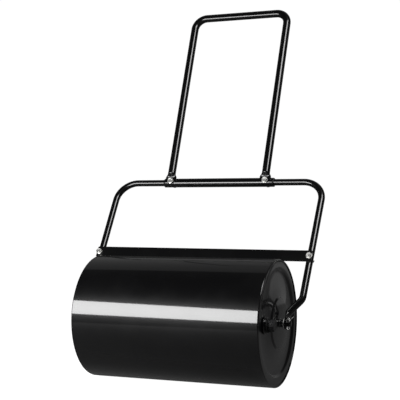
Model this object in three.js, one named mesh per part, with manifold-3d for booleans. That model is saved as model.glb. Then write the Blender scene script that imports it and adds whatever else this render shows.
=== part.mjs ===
// A garden lawn roller: a water-filled steel drum that spins on a through axle, carried by two bent
// side tubes, a cross bar, a sleeve tube and a bolted push handle.
// Millimetres, +Z up. The drum lies along X, the handle leans back along +Y, and the origin is on the
// ground under the middle of the drum.

import * as THREE from "three";
import { mergeVertices } from "three/addons/utils/BufferGeometryUtils.js";
import Module from "manifold-3d";

const wasm = await Module();
wasm.setup();

// ---------------------------------------------------------------- driving dimensions

// Fits: the gap between pieces that rest on each other, and the clearance round a bolt.
const SEAT_GAP = 0.3;
const BOLT_CLEARANCE = 0.4;

// Drum: a rolled steel shell, its edge crimped over a pressed plate at each end.
const DRUM_DIAMETER = 320;
const DRUM_LENGTH = 500;
const SHEET = 1.5;
const DRUM_FACETS = 48;
const RIM_RADIUS = 3;
const RIM_LIP = 5;
const RIM_STEPS = 2;

// End plate: radii of its pressed rings, and how far each face stands out from the rim plane.
const FLANGE_DEPTH = 20;
const FLANGE_RADIUS = 3;
const STEP_RADIUS = 135;
const STEP_WIDTH = 7;
const STEP_DEPTH = 5;
const BOSS_RADIUS = 67;
const BOSS_WIDTH = 6;
const BOSS_RISE = 4;
const DISH_RISE = 6;

// Axle: a tube welded through the drum, and a rod through it that the side tubes hang on.
const AXLE_DIAMETER = 14;
const AXLE_PLAY = 0.5;
const AXLE_TUBE_WALL = 2.5;
const AXLE_TUBE_PROJECTION = 13;
const AXLE_OVERHANG = 6;
const AXLE_CHAMFER = 1.5;
const AXLE_WASHER_DIAMETER = 28;
const AXLE_WASHER_THICKNESS = 2;
const SIDE_PLAY = 1;

// Split pin, bent up from one wire: an eye under the axle, and legs that spread above it.
const PIN_WIRE = 1.5;
const PIN_EYE_RADIUS = 2.6;
const PIN_EYE_DROP = 1.5;
const PIN_STAND = 2;
const PIN_LONG_LEG = 14;
const PIN_LONG_ANGLE = 34;
const PIN_SHORT_LEG = 7;
const PIN_SHORT_ANGLE = 14;
const PIN_BEND_RADIUS = 3;
const PIN_HOLE_CLEARANCE = 0.4;

// Filler: a threaded socket in the right plate, a sealing ring and a fluted plug.
const FILLER_OFFSET = 95;
const FILLER_ANGLE = 3;
const FILLER_BORE = 22;
const FILLER_WALL = 4.5;
const FILLER_DEPTH = 18;
const FILLER_FLANGE_DIAMETER = 40;
const FILLER_FLANGE = 3;
const SEAL_DIAMETER = 36;
const SEAL_THICKNESS = 3;
const PLUG_DIAMETER = 31;
const PLUG_LENGTH = 11;
const PLUG_FLUTES = 12;
const PLUG_FLUTE_DEPTH = 0.8;
const PLUG_HEX = 27;
const PLUG_HEX_HEIGHT = 5;
const PLUG_THREAD_LENGTH = 15;
const PLUG_CLEARANCE = 0.4;

// Lower frame: two side tubes bent in at the drum and over into the sleeve.
const FRAME_LEAN = 33;
const FRAME_REACH = 264;
const SIDE_TUBE_DIAMETER = 18;
const SIDE_TUBE_WALL = 1.5;
const LEG_STANDOFF = 49;
const LEG_SPREAD = 12;
const LEG_BEND_RADIUS = 57;
const OFFSET_BEND_RADIUS = 28;
const OFFSET_LOW = 28;
const OFFSET_HIGH = 69;
const TAB_END = 14;
const TAB_FLAT = 27;
const TAB_BLEND = 18;
const STUB_PAST_BOLT = 25.5;

// Sleeve tube that joins the side tubes.
const SLEEVE_OVERHANG = 22.5;
const SLEEVE_WALL = 3;
const SLEEVE_PLAY = 0.5;

// Cross bar, bolted to the front of the side tubes just above the drum.
const BAR_HEIGHT = 32;
const BAR_THICKNESS = 3;
const BAR_CLEARANCE = 12;
const BAR_OVERHANG = 7.3;
const BAR_CORNER = 3;

// Push handle: one bent tube with pressed ends, bolted to the front of the sleeve.
const HANDLE_LEAN = 22.4;
const HANDLE_LENGTH = 533;
const HANDLE_DIAMETER = 22;
const HANDLE_WALL = 1.5;
const HANDLE_SPACING = 281;
const HANDLE_SPREAD = 8;
const HANDLE_BEND_RADIUS = 35;
const HANDLE_END = 11;
const HANDLE_FLAT = 20;
const HANDLE_BLEND = 22;

// Pressed tube ends: the slit left between the two walls.
const PRESS_SLIT = 0.5;

// Bolts, washers and nuts.
const BOLT_DIAMETER = 8;
const BOLT_HEAD_WIDTH = 13;
const BOLT_HEAD_HEIGHT = 5.3;
const BOLT_TIP = 3;
const NUT_HEIGHT = 7;
const WASHER_DIAMETER = 17;
const WASHER_THICKNESS = 1.6;

// Fineness of the round forms.
const TUBE_SIDES = 12;
const ROUND_SIDES = 24;
const HOLE_SIDES = 16;
const WIRE_SIDES = 6;
const BEND_STEP = 15;
const BLEND_STEPS = 4;

// Points nearer to each other than this are one point.
const WELD = 1e-3;

// ---------------------------------------------------------------- derived sizes

const DRUM_RADIUS = DRUM_DIAMETER / 2;
const RIM_PLANE = DRUM_LENGTH / 2;
const AXLE_HEIGHT = DRUM_RADIUS * Math.cos(Math.PI / DRUM_FACETS);
const AXLE_RADIUS = AXLE_DIAMETER / 2;
const AXLE_TUBE_BORE = AXLE_RADIUS + AXLE_PLAY;
const AXLE_TUBE_RADIUS = AXLE_TUBE_BORE + AXLE_TUBE_WALL;
const AXLE_TUBE_END = RIM_PLANE + AXLE_TUBE_PROJECTION;

const PLATE_FACE = -SHEET - SEAT_GAP;
const DISH_LOW = PLATE_FACE - STEP_DEPTH;
const DISH_HIGH = DISH_LOW + DISH_RISE;
const BOSS_FACE = DISH_HIGH + BOSS_RISE;

const FRAME_LENGTH = DRUM_RADIUS + FRAME_REACH;
const LEG_SPACING = DRUM_LENGTH + 2 * LEG_STANDOFF;
const SIDE_TUBE_RADIUS = SIDE_TUBE_DIAMETER / 2;
const TAB_HALF = SIDE_TUBE_WALL + PRESS_SLIT / 2;
const INNER_WASHER = AXLE_TUBE_END + SIDE_PLAY;
const TAB_PLACE = INNER_WASHER + AXLE_WASHER_THICKNESS + SIDE_PLAY + TAB_HALF;
const OUTER_WASHER = TAB_PLACE + TAB_HALF + SEAT_GAP;
const PIN_PLACE = OUTER_WASHER + AXLE_WASHER_THICKNESS + SEAT_GAP + PIN_EYE_RADIUS + PIN_WIRE / 2;
const PIN_LEG_PLACE = (PIN_WIRE + SEAT_GAP) / 2;
const PIN_HOLE = PIN_LEG_PLACE + PIN_WIRE / 2 + PIN_HOLE_CLEARANCE;
const AXLE_END = PIN_PLACE + AXLE_OVERHANG;

const STUB_REACH = HANDLE_SPACING / 2 - STUB_PAST_BOLT;
const SLEEVE_LENGTH = HANDLE_SPACING + 2 * SLEEVE_OVERHANG;
const SLEEVE_BORE = SIDE_TUBE_RADIUS + SLEEVE_PLAY;
const SLEEVE_RADIUS = SLEEVE_BORE + SLEEVE_WALL;
const HANDLE_RADIUS = HANDLE_DIAMETER / 2;
const HANDLE_HALF = HANDLE_WALL + PRESS_SLIT / 2;
const HANDLE_OFFSET = SLEEVE_RADIUS + SEAT_GAP + HANDLE_HALF;
const BOLT_HOLE = BOLT_DIAMETER / 2 + BOLT_CLEARANCE;

const BAR_BACK = SIDE_TUBE_RADIUS + SEAT_GAP;
const BAR_FRONT = BAR_BACK + BAR_THICKNESS;
const BAR_PLACE = DRUM_RADIUS + BAR_CLEARANCE + BAR_HEIGHT / 2;
const BAR_BOLT_X = (LEG_SPACING + (LEG_SPREAD * BAR_PLACE) / FRAME_LENGTH) / 2;
const BAR_LENGTH = 2 * (BAR_BOLT_X + BAR_OVERHANG);

const FILLER_RADIUS = FILLER_BORE / 2 + FILLER_WALL;
const FILLER_BACK = dishFace(FILLER_OFFSET - FILLER_FLANGE_DIAMETER / 2) + SEAT_GAP;
const SEAL_BACK = FILLER_BACK + FILLER_FLANGE + SEAT_GAP;
const PLUG_BACK = SEAL_BACK + SEAL_THICKNESS + SEAT_GAP;

const radians = THREE.MathUtils.degToRad;

// ---------------------------------------------------------------- materials

function paint(color) {
  return new THREE.MeshStandardMaterial({ color, roughness: 0.22, metalness: 0.1 });
}

function zinc() {
  return new THREE.MeshStandardMaterial({ color: 0xc4c6c8, roughness: 0.35, metalness: 0.9 });
}

function plastic(color, roughness) {
  return new THREE.MeshStandardMaterial({ color, roughness, metalness: 0 });
}

// ---------------------------------------------------------------- solids

function solidOf(geometry) {
  const bare = geometry.clone();
  bare.deleteAttribute("normal");
  bare.deleteAttribute("uv");
  const merged = mergeVertices(bare, WELD);
  const mesh = new wasm.Mesh({
    numProp: 3,
    vertProperties: merged.attributes.position.array,
    triVerts: new Uint32Array(merged.index.array),
  });
  return new wasm.Manifold(mesh);
}

function geometryOf(solid) {
  const { vertProperties, triVerts } = solid.getMesh();
  const geometry = new THREE.BufferGeometry();
  geometry.setAttribute("position", new THREE.BufferAttribute(vertProperties, 3));
  geometry.setIndex(new THREE.BufferAttribute(triVerts, 1));
  const faceted = geometry.toNonIndexed();
  faceted.computeVertexNormals();
  return faceted;
}

function cut(geometry, ...tools) {
  return geometryOf(tools.reduce((left, tool) => left.subtract(solidOf(tool)), solidOf(geometry)));
}

function join(geometry, ...others) {
  return geometryOf(others.reduce((made, other) => made.add(solidOf(other)), solidOf(geometry)));
}

// A rod along Y, from the first place to the second.
function rodAlongY(radius, from, to, sides = HOLE_SIDES) {
  return new THREE.CylinderGeometry(radius, radius, to - from, sides).translate(0, (from + to) / 2, 0);
}

// A profile of [radius, distance along X] pairs turned about the X axis, with a facet at the bottom.
function turned(profile, sides = ROUND_SIDES) {
  const points = profile.map(([radius, along]) => new THREE.Vector2(radius, along));
  return new THREE.LatheGeometry(points, sides, Math.PI / sides).rotateZ(-Math.PI / 2);
}

// A ring about the X axis, with a square section.
function ring(inner, outer, from, to, sides = ROUND_SIDES) {
  const profile = [
    [outer, from],
    [outer, to],
    [inner, to],
    [inner, from],
    [outer, from],
  ];
  return turned(profile, sides);
}

// Points along an arc from one angle to another, in degrees.
function arc(centreX, centreY, radius, from, to, steps) {
  return Array.from({ length: steps + 1 }, (_, step) => {
    const angle = radians(from + ((to - from) * step) / steps);
    return [centreX + radius * Math.cos(angle), centreY + radius * Math.sin(angle)];
  });
}

// An S-shaped step in a pressed plate, from one radius and height to the next.
function swage(fromRadius, fromHeight, toRadius, toHeight, steps = 2) {
  return Array.from({ length: steps + 1 }, (_, step) => {
    const share = step / steps;
    const ease = (1 - Math.cos(Math.PI * share)) / 2;
    return [
      THREE.MathUtils.lerp(fromRadius, toRadius, share),
      THREE.MathUtils.lerp(fromHeight, toHeight, ease),
    ];
  });
}

// A closed outline round a line of sheet metal: the line itself, and the same line moved square to
// its run by the sheet's thickness, to its left.
function sheetOutline(line, thickness) {
  const directions = line.slice(1).map(([x, y], i) => {
    const run = Math.hypot(x - line[i][0], y - line[i][1]);
    return [(x - line[i][0]) / run, (y - line[i][1]) / run];
  });
  const back = line.map(([x, y], i) => {
    const before = directions[Math.max(0, i - 1)];
    const after = directions[Math.min(directions.length - 1, i)];
    const normal = [-(before[1] + after[1]), before[0] + after[0]];
    const square = -normal[0] * before[1] + normal[1] * before[0];
    return [x + (normal[0] * thickness) / square, y + (normal[1] * thickness) / square];
  });
  return [...line, ...back.reverse(), line[0]];
}

// ---------------------------------------------------------------- bent and pressed tubes

// Places along a line with rounded corners, in a plane with axes u and v. Each place has its distance
// along the line and its heading. Marks are extra distances, counted back from the end if negative.
function bentLine(corners, radii, marks) {
  const runs = [];
  let start = corners[0];
  for (let i = 1; i < corners.length; i += 1) {
    const heading = Math.atan2(corners[i][1] - corners[i - 1][1], corners[i][0] - corners[i - 1][0]);
    const next = corners[i + 1];
    let trim = 0;
    let turn = 0;
    if (next) {
      const following = Math.atan2(next[1] - corners[i][1], next[0] - corners[i][0]);
      turn = THREE.MathUtils.euclideanModulo(following - heading + Math.PI, 2 * Math.PI) - Math.PI;
      trim = radii[i - 1] * Math.tan(Math.abs(turn) / 2);
    }
    const end = [corners[i][0] - trim * Math.cos(heading), corners[i][1] - trim * Math.sin(heading)];
    runs.push({ start, heading, length: Math.hypot(end[0] - start[0], end[1] - start[1]) });
    start = end;
    if (next) {
      const length = radii[i - 1] * Math.abs(turn);
      runs.push({ start, heading, length, turn });
      const out = heading + turn;
      start = [corners[i][0] + trim * Math.cos(out), corners[i][1] + trim * Math.sin(out)];
    }
  }

  const total = runs.reduce((sum, run) => sum + run.length, 0);
  const stops = marks.map((mark) => (mark < 0 ? total + mark : mark));
  const places = [];
  let passed = 0;
  for (const run of runs.filter(({ length }) => length > WELD)) {
    const steps = run.turn ? Math.ceil(Math.abs(THREE.MathUtils.radToDeg(run.turn)) / BEND_STEP) : 1;
    const inside = stops.map((stop) => stop - passed).filter((d) => d > 0.5 && d < run.length - 0.5);
    const even = Array.from({ length: steps }, (_, step) => (run.length * step) / steps);
    const distances = run.turn ? even : [0, ...inside.sort((a, b) => a - b)];
    for (const distance of distances) places.push(placeOn(run, distance, passed));
    passed += run.length;
  }
  const last = runs[runs.length - 1];
  places.push(placeOn(last, last.length, passed - last.length));
  return { places, total };
}

// The place at a distance into a straight or a bend.
function placeOn(run, distance, passed) {
  const [u, v] = run.start;
  const along = passed + distance;
  if (!run.turn) {
    const [cos, sin] = [Math.cos(run.heading), Math.sin(run.heading)];
    return { u: u + distance * cos, v: v + distance * sin, heading: run.heading, along };
  }
  const radius = run.length / run.turn;
  const heading = run.heading + distance / radius;
  return {
    u: u + radius * (Math.sin(heading) - Math.sin(run.heading)),
    v: v - radius * (Math.cos(heading) - Math.cos(run.heading)),
    heading,
    along,
  };
}

// A point of a round section once it is pressed flat to a half thickness, its girth unchanged.
function pressedPoint(angle, radius, half) {
  const halfWidth = half + (Math.PI * (radius - half)) / 2;
  const quarter = Math.asin(Math.abs(Math.sin(angle)));
  const girth = quarter * radius;
  const corner = (Math.PI * half) / 2;
  const onCorner = girth <= corner;
  const turn = onCorner ? girth / half : Math.PI / 2;
  const wide = halfWidth - half + half * Math.cos(turn) - (onCorner ? 0 : girth - corner);
  const thin = half * Math.sin(turn);
  return [wide * Math.sign(Math.cos(angle)), thin * Math.sign(Math.sin(angle))];
}

// A tube or wire along a bent line in the X-Z plane. A press flattens an end: it has the flat's length,
// the blend back to round, the half thickness, and which way the flat is wide.
function formedTube({ corners, radii, radius, wall, sides, press, pressedEnds, wideInPlane = false }) {
  const ends = press ? pressedEnds : [];
  const blends = ends.flatMap((end) =>
    [0, ...Array.from({ length: BLEND_STEPS }, (_, i) => (i + 1) / BLEND_STEPS)].map((share) => {
      const distance = press.flat + press.blend * share;
      return end === "start" ? distance : -distance;
    }),
  );
  const width = press ? press.half + (Math.PI * (radius - press.half)) / 2 : 0;
  const rounds = ends.map((end) => (end === "start" ? width : -width));
  const { places, total } = bentLine(corners, radii, [...blends, ...rounds]);

  const outline = new THREE.Shape().absarc(0, 0, radius, 0, 2 * Math.PI);
  if (wall) outline.holes.push(new THREE.Path().absarc(0, 0, radius - wall, 0, 2 * Math.PI, true));
  const tube = new THREE.ExtrudeGeometry(outline, {
    depth: places.length - 1,
    steps: places.length - 1,
    curveSegments: (sides ?? TUBE_SIDES) / 2,
    bevelEnabled: false,
  });

  const point = tube.attributes.position;
  for (let i = 0; i < point.count; i += 1) {
    const place = places[Math.round(point.getZ(i))];
    const angle = Math.atan2(point.getY(i), point.getX(i));
    const from = Math.hypot(point.getX(i), point.getY(i));
    const depth = radius - from;
    let [left, out] = [point.getX(i), point.getY(i)];
    let shift = 0;
    for (const end of ends) {
      const distance = end === "start" ? place.along : total - place.along;
      const flatness = 1 - THREE.MathUtils.smoothstep(distance, press.flat, press.flat + press.blend);
      if (flatness <= 0) continue;
      const turned90 = wideInPlane ? angle : angle - Math.PI / 2;
      const [wide, thin] = pressedPoint(turned90, from, press.half - depth);
      const [pressedLeft, pressedOut] = wideInPlane ? [wide, thin] : [-thin, wide];
      left = THREE.MathUtils.lerp(left, pressedLeft, flatness);
      out = THREE.MathUtils.lerp(out, pressedOut, flatness);
      const nearEnd = Math.max(0, 1 - distance / width);
      const rounding = width - Math.sqrt(Math.max(0, width * width - wide * wide));
      shift += nearEnd * rounding * (end === "start" ? 1 : -1);
    }
    const [cos, sin] = [Math.cos(place.heading), Math.sin(place.heading)];
    const u = place.u + shift * cos - left * sin;
    const v = place.v + shift * sin + left * cos;
    point.setXYZ(i, u, -out, v);
  }
  return tube;
}

// ---------------------------------------------------------------- drum

// The shell with its edge turned in over the end plates.
function drumShell() {
  const outside = [
    [DRUM_RADIUS - RIM_LIP, RIM_PLANE],
    ...arc(DRUM_RADIUS - RIM_RADIUS, RIM_PLANE - RIM_RADIUS, RIM_RADIUS, 90, 0, RIM_STEPS),
  ];
  const mirrored = outside.map(([radius, along]) => [radius, -along]).reverse();
  const line = [...outside, ...mirrored].reverse();
  return turned(sheetOutline(line, SHEET), DRUM_FACETS);
}

// How far the dished face stands out from the rim plane at a radius.
function dishFace(radius) {
  const share = (STEP_RADIUS - STEP_WIDTH - radius) / (STEP_RADIUS - STEP_WIDTH - BOSS_RADIUS);
  return DISH_LOW + DISH_RISE * share;
}

// A pressed end plate, facing +X: flange, flat land, step, dished face and raised boss.
function endPlate() {
  const flange = DRUM_RADIUS - SHEET - SEAT_GAP;
  const line = [
    [flange, PLATE_FACE - FLANGE_DEPTH],
    ...arc(flange - FLANGE_RADIUS, PLATE_FACE - FLANGE_RADIUS, FLANGE_RADIUS, 0, 90, 2),
    ...swage(STEP_RADIUS, PLATE_FACE, STEP_RADIUS - STEP_WIDTH, DISH_LOW),
    ...swage(BOSS_RADIUS, DISH_HIGH, BOSS_RADIUS - BOSS_WIDTH, BOSS_FACE),
    [AXLE_TUBE_RADIUS + SEAT_GAP, BOSS_FACE],
  ];
  return turned(sheetOutline(line, SHEET), DRUM_FACETS).translate(RIM_PLANE, 0, 0);
}

// Where the filler stands on the right plate, as a move in Y and Z.
function fillerPlace() {
  const angle = radians(FILLER_ANGLE);
  return [0, -FILLER_OFFSET * Math.cos(angle), FILLER_OFFSET * Math.sin(angle)];
}

function endPlateWithFiller() {
  const radius = FILLER_RADIUS + SEAT_GAP;
  const hole = rodAlongY(radius, RIM_PLANE - 2 * FLANGE_DEPTH, RIM_PLANE + FLANGE_DEPTH, ROUND_SIDES);
  return cut(endPlate(), hole.rotateZ(-Math.PI / 2).translate(...fillerPlace()));
}

function axleTube() {
  return ring(AXLE_TUBE_BORE, AXLE_TUBE_RADIUS, -AXLE_TUBE_END, AXLE_TUBE_END);
}

function fillerNeck() {
  const bore = FILLER_BORE / 2;
  const flange = FILLER_FLANGE_DIAMETER / 2;
  const profile = [
    [bore, FILLER_BACK - FILLER_DEPTH],
    [FILLER_RADIUS, FILLER_BACK - FILLER_DEPTH],
    [FILLER_RADIUS, FILLER_BACK],
    [flange, FILLER_BACK],
    [flange, FILLER_BACK + FILLER_FLANGE],
    [bore, FILLER_BACK + FILLER_FLANGE],
    [bore, FILLER_BACK - FILLER_DEPTH],
  ];
  return turned(profile).translate(RIM_PLANE, 0, 0);
}

function fillerSeal() {
  const inner = FILLER_BORE / 2;
  return ring(inner, SEAL_DIAMETER / 2, RIM_PLANE + SEAL_BACK, RIM_PLANE + SEAL_BACK + SEAL_THICKNESS);
}

// A fluted grip with a hexagon on its face and a threaded stem behind.
function fillerPlug() {
  const points = Array.from({ length: PLUG_FLUTES * 4 }, (_, i) => {
    const angle = (2 * Math.PI * i) / (PLUG_FLUTES * 4);
    const radius = PLUG_DIAMETER / 2 - (PLUG_FLUTE_DEPTH * (1 - Math.cos(PLUG_FLUTES * angle))) / 2;
    return new THREE.Vector2(radius * Math.cos(angle), radius * Math.sin(angle));
  });
  const grip = new THREE.ExtrudeGeometry(new THREE.Shape(points), {
    depth: PLUG_LENGTH,
    bevelEnabled: false,
  });
  grip.rotateY(Math.PI / 2).translate(PLUG_BACK, 0, 0);
  const front = PLUG_BACK + PLUG_LENGTH;
  const hex = rodAlongY(PLUG_HEX / Math.sqrt(3), front - 1, front + PLUG_HEX_HEIGHT, 6);
  const stem = rodAlongY(
    FILLER_BORE / 2 - PLUG_CLEARANCE,
    PLUG_BACK - SEAL_THICKNESS - PLUG_THREAD_LENGTH,
    PLUG_BACK + 1,
    ROUND_SIDES,
  );
  return join(grip, hex.rotateZ(-Math.PI / 2), stem.rotateZ(-Math.PI / 2)).translate(RIM_PLANE, 0, 0);
}

// ---------------------------------------------------------------- axle

function pinHole() {
  return rodAlongY(PIN_HOLE, -AXLE_DIAMETER, AXLE_DIAMETER).rotateX(Math.PI / 2);
}

function axleRod() {
  const profile = [
    [0, -AXLE_END],
    [AXLE_RADIUS - AXLE_CHAMFER, -AXLE_END],
    [AXLE_RADIUS, -AXLE_END + AXLE_CHAMFER],
    [AXLE_RADIUS, AXLE_END - AXLE_CHAMFER],
    [AXLE_RADIUS - AXLE_CHAMFER, AXLE_END],
    [0, AXLE_END],
  ];
  const holes = [-1, 1].map((side) => pinHole().translate(side * PIN_PLACE, 0, 0));
  return cut(turned(profile), ...holes);
}

function axleWasher(from) {
  const bore = AXLE_RADIUS + SEAT_GAP;
  return ring(bore, AXLE_WASHER_DIAMETER / 2, from, from + AXLE_WASHER_THICKNESS, HOLE_SIDES);
}

// A split pin up through the axle: an eye below, and above it a long leg bent out and a short one in.
function splitPin() {
  const [leg, eye] = [PIN_LEG_PLACE, PIN_EYE_RADIUS];
  const neck = -AXLE_RADIUS - PIN_EYE_DROP;
  const bend = AXLE_RADIUS + PIN_STAND;
  const [out, back] = [radians(PIN_LONG_ANGLE), radians(PIN_SHORT_ANGLE)];
  return formedTube({
    corners: [
      [leg + PIN_LONG_LEG * Math.sin(out), bend + PIN_LONG_LEG * Math.cos(out)],
      [leg, bend],
      [leg, neck],
      [eye, neck - eye],
      [eye, neck - 3 * eye],
      [-eye, neck - 3 * eye],
      [-eye, neck - eye],
      [-leg, neck],
      [-leg, bend],
      [-leg - PIN_SHORT_LEG * Math.sin(back), bend + PIN_SHORT_LEG * Math.cos(back)],
    ],
    radii: [PIN_BEND_RADIUS, 1, eye, eye, eye, eye, 1, PIN_BEND_RADIUS],
    radius: PIN_WIRE / 2,
    sides: WIRE_SIDES,
  });
}

// ---------------------------------------------------------------- lower frame

// The right side tube, from its pressed and drilled tab on the axle up and over into the sleeve.
function sideTube() {
  const tube = formedTube({
    corners: [
      [TAB_PLACE, -TAB_END],
      [TAB_PLACE, OFFSET_LOW],
      [(LEG_SPACING + (LEG_SPREAD * OFFSET_HIGH) / FRAME_LENGTH) / 2, OFFSET_HIGH],
      [(LEG_SPACING + LEG_SPREAD) / 2, FRAME_LENGTH],
      [STUB_REACH, FRAME_LENGTH],
    ],
    radii: [OFFSET_BEND_RADIUS, OFFSET_BEND_RADIUS, LEG_BEND_RADIUS],
    radius: SIDE_TUBE_RADIUS,
    wall: SIDE_TUBE_WALL,
    press: { flat: TAB_FLAT, blend: TAB_BLEND, half: TAB_HALF },
    pressedEnds: ["start"],
  });
  const axleHole = rodAlongY(AXLE_RADIUS + SEAT_GAP, 0, 4 * TAB_HALF).rotateZ(-Math.PI / 2);
  axleHole.translate(TAB_PLACE - 2 * TAB_HALF, 0, 0);
  const barHole = boltHole(SIDE_TUBE_DIAMETER).translate(BAR_BOLT_X, 0, BAR_PLACE);
  const tilt = radians(FRAME_LEAN - HANDLE_LEAN);
  const stubHole = boltHole(SIDE_TUBE_DIAMETER).rotateX(tilt);
  stubHole.translate(HANDLE_SPACING / 2, 0, FRAME_LENGTH);
  return cut(tube, axleHole, barHole, stubHole);
}

function boltHole(depth) {
  return rodAlongY(BOLT_HOLE, -depth, depth);
}

// The same piece for the other side of the machine.
function mirrored(geometry) {
  const copy = geometry.clone().scale(-1, 1, 1);
  const faces = copy.index ? copy.toNonIndexed() : copy;
  const point = faces.attributes.position;
  for (let i = 0; i < point.count; i += 3) {
    const [x, y, z] = [point.getX(i), point.getY(i), point.getZ(i)];
    point.setXYZ(i, point.getX(i + 1), point.getY(i + 1), point.getZ(i + 1));
    point.setXYZ(i + 1, x, y, z);
  }
  faces.deleteAttribute("uv");
  faces.computeVertexNormals();
  return faces;
}

function sleeveTube() {
  const half = SLEEVE_LENGTH / 2;
  const tilt = radians(FRAME_LEAN - HANDLE_LEAN);
  const holes = [-1, 1].map((side) =>
    boltHole(2 * SLEEVE_RADIUS).rotateX(tilt).translate((side * HANDLE_SPACING) / 2, 0, 0),
  );
  return cut(ring(SLEEVE_BORE, SLEEVE_RADIUS, -half, half), ...holes);
}

function crossBar() {
  const [halfLength, halfHeight] = [BAR_LENGTH / 2, BAR_HEIGHT / 2];
  const outline = new THREE.Shape();
  outline.absarc(halfLength - BAR_CORNER, halfHeight - BAR_CORNER, BAR_CORNER, 0, Math.PI / 2);
  outline.absarc(BAR_CORNER - halfLength, halfHeight - BAR_CORNER, BAR_CORNER, Math.PI / 2, Math.PI);
  outline.absarc(BAR_CORNER - halfLength, BAR_CORNER - halfHeight, BAR_CORNER, Math.PI, 1.5 * Math.PI);
  outline.absarc(halfLength - BAR_CORNER, BAR_CORNER - halfHeight, BAR_CORNER, 1.5 * Math.PI, 2 * Math.PI);
  for (const side of [-1, 1]) {
    outline.holes.push(new THREE.Path().absarc(side * BAR_BOLT_X, 0, BOLT_HOLE, 0, 2 * Math.PI, true));
  }
  const bar = new THREE.ExtrudeGeometry(outline, {
    depth: BAR_THICKNESS,
    curveSegments: 4,
    bevelEnabled: false,
  });
  return bar.rotateX(Math.PI / 2);
}

// ---------------------------------------------------------------- handle

function handleTube() {
  const [foot, top] = [HANDLE_SPACING / 2, (HANDLE_SPACING + HANDLE_SPREAD) / 2];
  const tube = formedTube({
    corners: [
      [foot, -HANDLE_END],
      [top, HANDLE_LENGTH],
      [-top, HANDLE_LENGTH],
      [-foot, -HANDLE_END],
    ],
    radii: [HANDLE_BEND_RADIUS, HANDLE_BEND_RADIUS],
    radius: HANDLE_RADIUS,
    wall: HANDLE_WALL,
    press: { flat: HANDLE_FLAT, blend: HANDLE_BLEND, half: HANDLE_HALF },
    pressedEnds: ["start", "end"],
    wideInPlane: true,
  });
  const holes = [-1, 1].map((side) => boltHole(HANDLE_DIAMETER).translate(side * foot, 0, 0));
  return cut(tube, ...holes);
}

// ---------------------------------------------------------------- fasteners, each along Y

// A hexagon bolt with the underside of its head at the origin, its shank towards +Y.
function hexBolt(length) {
  const head = rodAlongY(BOLT_HEAD_WIDTH / Math.sqrt(3), -BOLT_HEAD_HEIGHT, 0, 6);
  return join(head, rodAlongY(BOLT_DIAMETER / 2, -1, length, HOLE_SIDES));
}

function hexNut() {
  const body = rodAlongY(BOLT_HEAD_WIDTH / Math.sqrt(3), 0, NUT_HEIGHT, 6);
  return cut(body, rodAlongY(BOLT_DIAMETER / 2 + SEAT_GAP, -1, NUT_HEIGHT + 1));
}

function boltWasher() {
  const half = WASHER_THICKNESS / 2;
  const disc = ring(BOLT_DIAMETER / 2 + SEAT_GAP, WASHER_DIAMETER / 2, -half, half, HOLE_SIDES);
  return disc.rotateZ(Math.PI / 2).translate(0, half, 0);
}

// ---------------------------------------------------------------- assembly

function mesh(name, geometry, material, x = 0, y = 0, z = 0) {
  const made = new THREE.Mesh(geometry, material);
  made.name = name;
  made.position.set(x, y, z);
  return made;
}

const SIDES = [
  { name: "left", sign: -1 },
  { name: "right", sign: 1 },
];

// A bolt through the pieces between two distances from the middle of a tube, front and back.
function boltThrough(name, x, z, front, back) {
  const washerBack = front + SEAT_GAP;
  const head = washerBack + WASHER_THICKNESS + SEAT_GAP;
  const nut = back + SEAT_GAP;
  const length = head + nut + NUT_HEIGHT + BOLT_TIP;
  return [
    mesh(`${name}_washer`, boltWasher(), zinc(), x, -washerBack - WASHER_THICKNESS, z),
    mesh(`${name}_bolt`, hexBolt(length), zinc(), x, -head, z),
    mesh(`${name}_nut`, hexNut(), zinc(), x, nut, z),
  ];
}

function drumGroup() {
  const group = new THREE.Group();
  group.position.z = AXLE_HEIGHT;
  const left = mesh("end_plate_left", mirrored(endPlate()), paint(0x16171a));
  group.add(
    mesh("drum_shell", drumShell(), paint(0x0c0d0f)),
    mesh("end_plate_right", endPlateWithFiller(), paint(0x16171a)),
    left,
    mesh("axle_tube", axleTube(), paint(0x0c0d0f)),
    mesh("filler_neck", fillerNeck(), paint(0x141518), ...fillerPlace()),
    mesh("filler_seal", fillerSeal(), plastic(0x08080a, 0.8), ...fillerPlace()),
    mesh("filler_plug", fillerPlug(), plastic(0x222326, 0.5), ...fillerPlace()),
  );
  return group;
}

function handleGroup() {
  const group = new THREE.Group();
  group.position.z = FRAME_LENGTH;
  group.rotation.x = radians(FRAME_LEAN - HANDLE_LEAN);
  group.add(mesh("handle_tube", handleTube(), paint(0x0a0b0d), 0, -HANDLE_OFFSET, 0));
  for (const { name, sign } of SIDES) {
    const x = (sign * HANDLE_SPACING) / 2;
    group.add(...boltThrough(`handle_${name}`, x, 0, HANDLE_OFFSET + HANDLE_HALF, SLEEVE_RADIUS));
  }
  return group;
}

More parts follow.
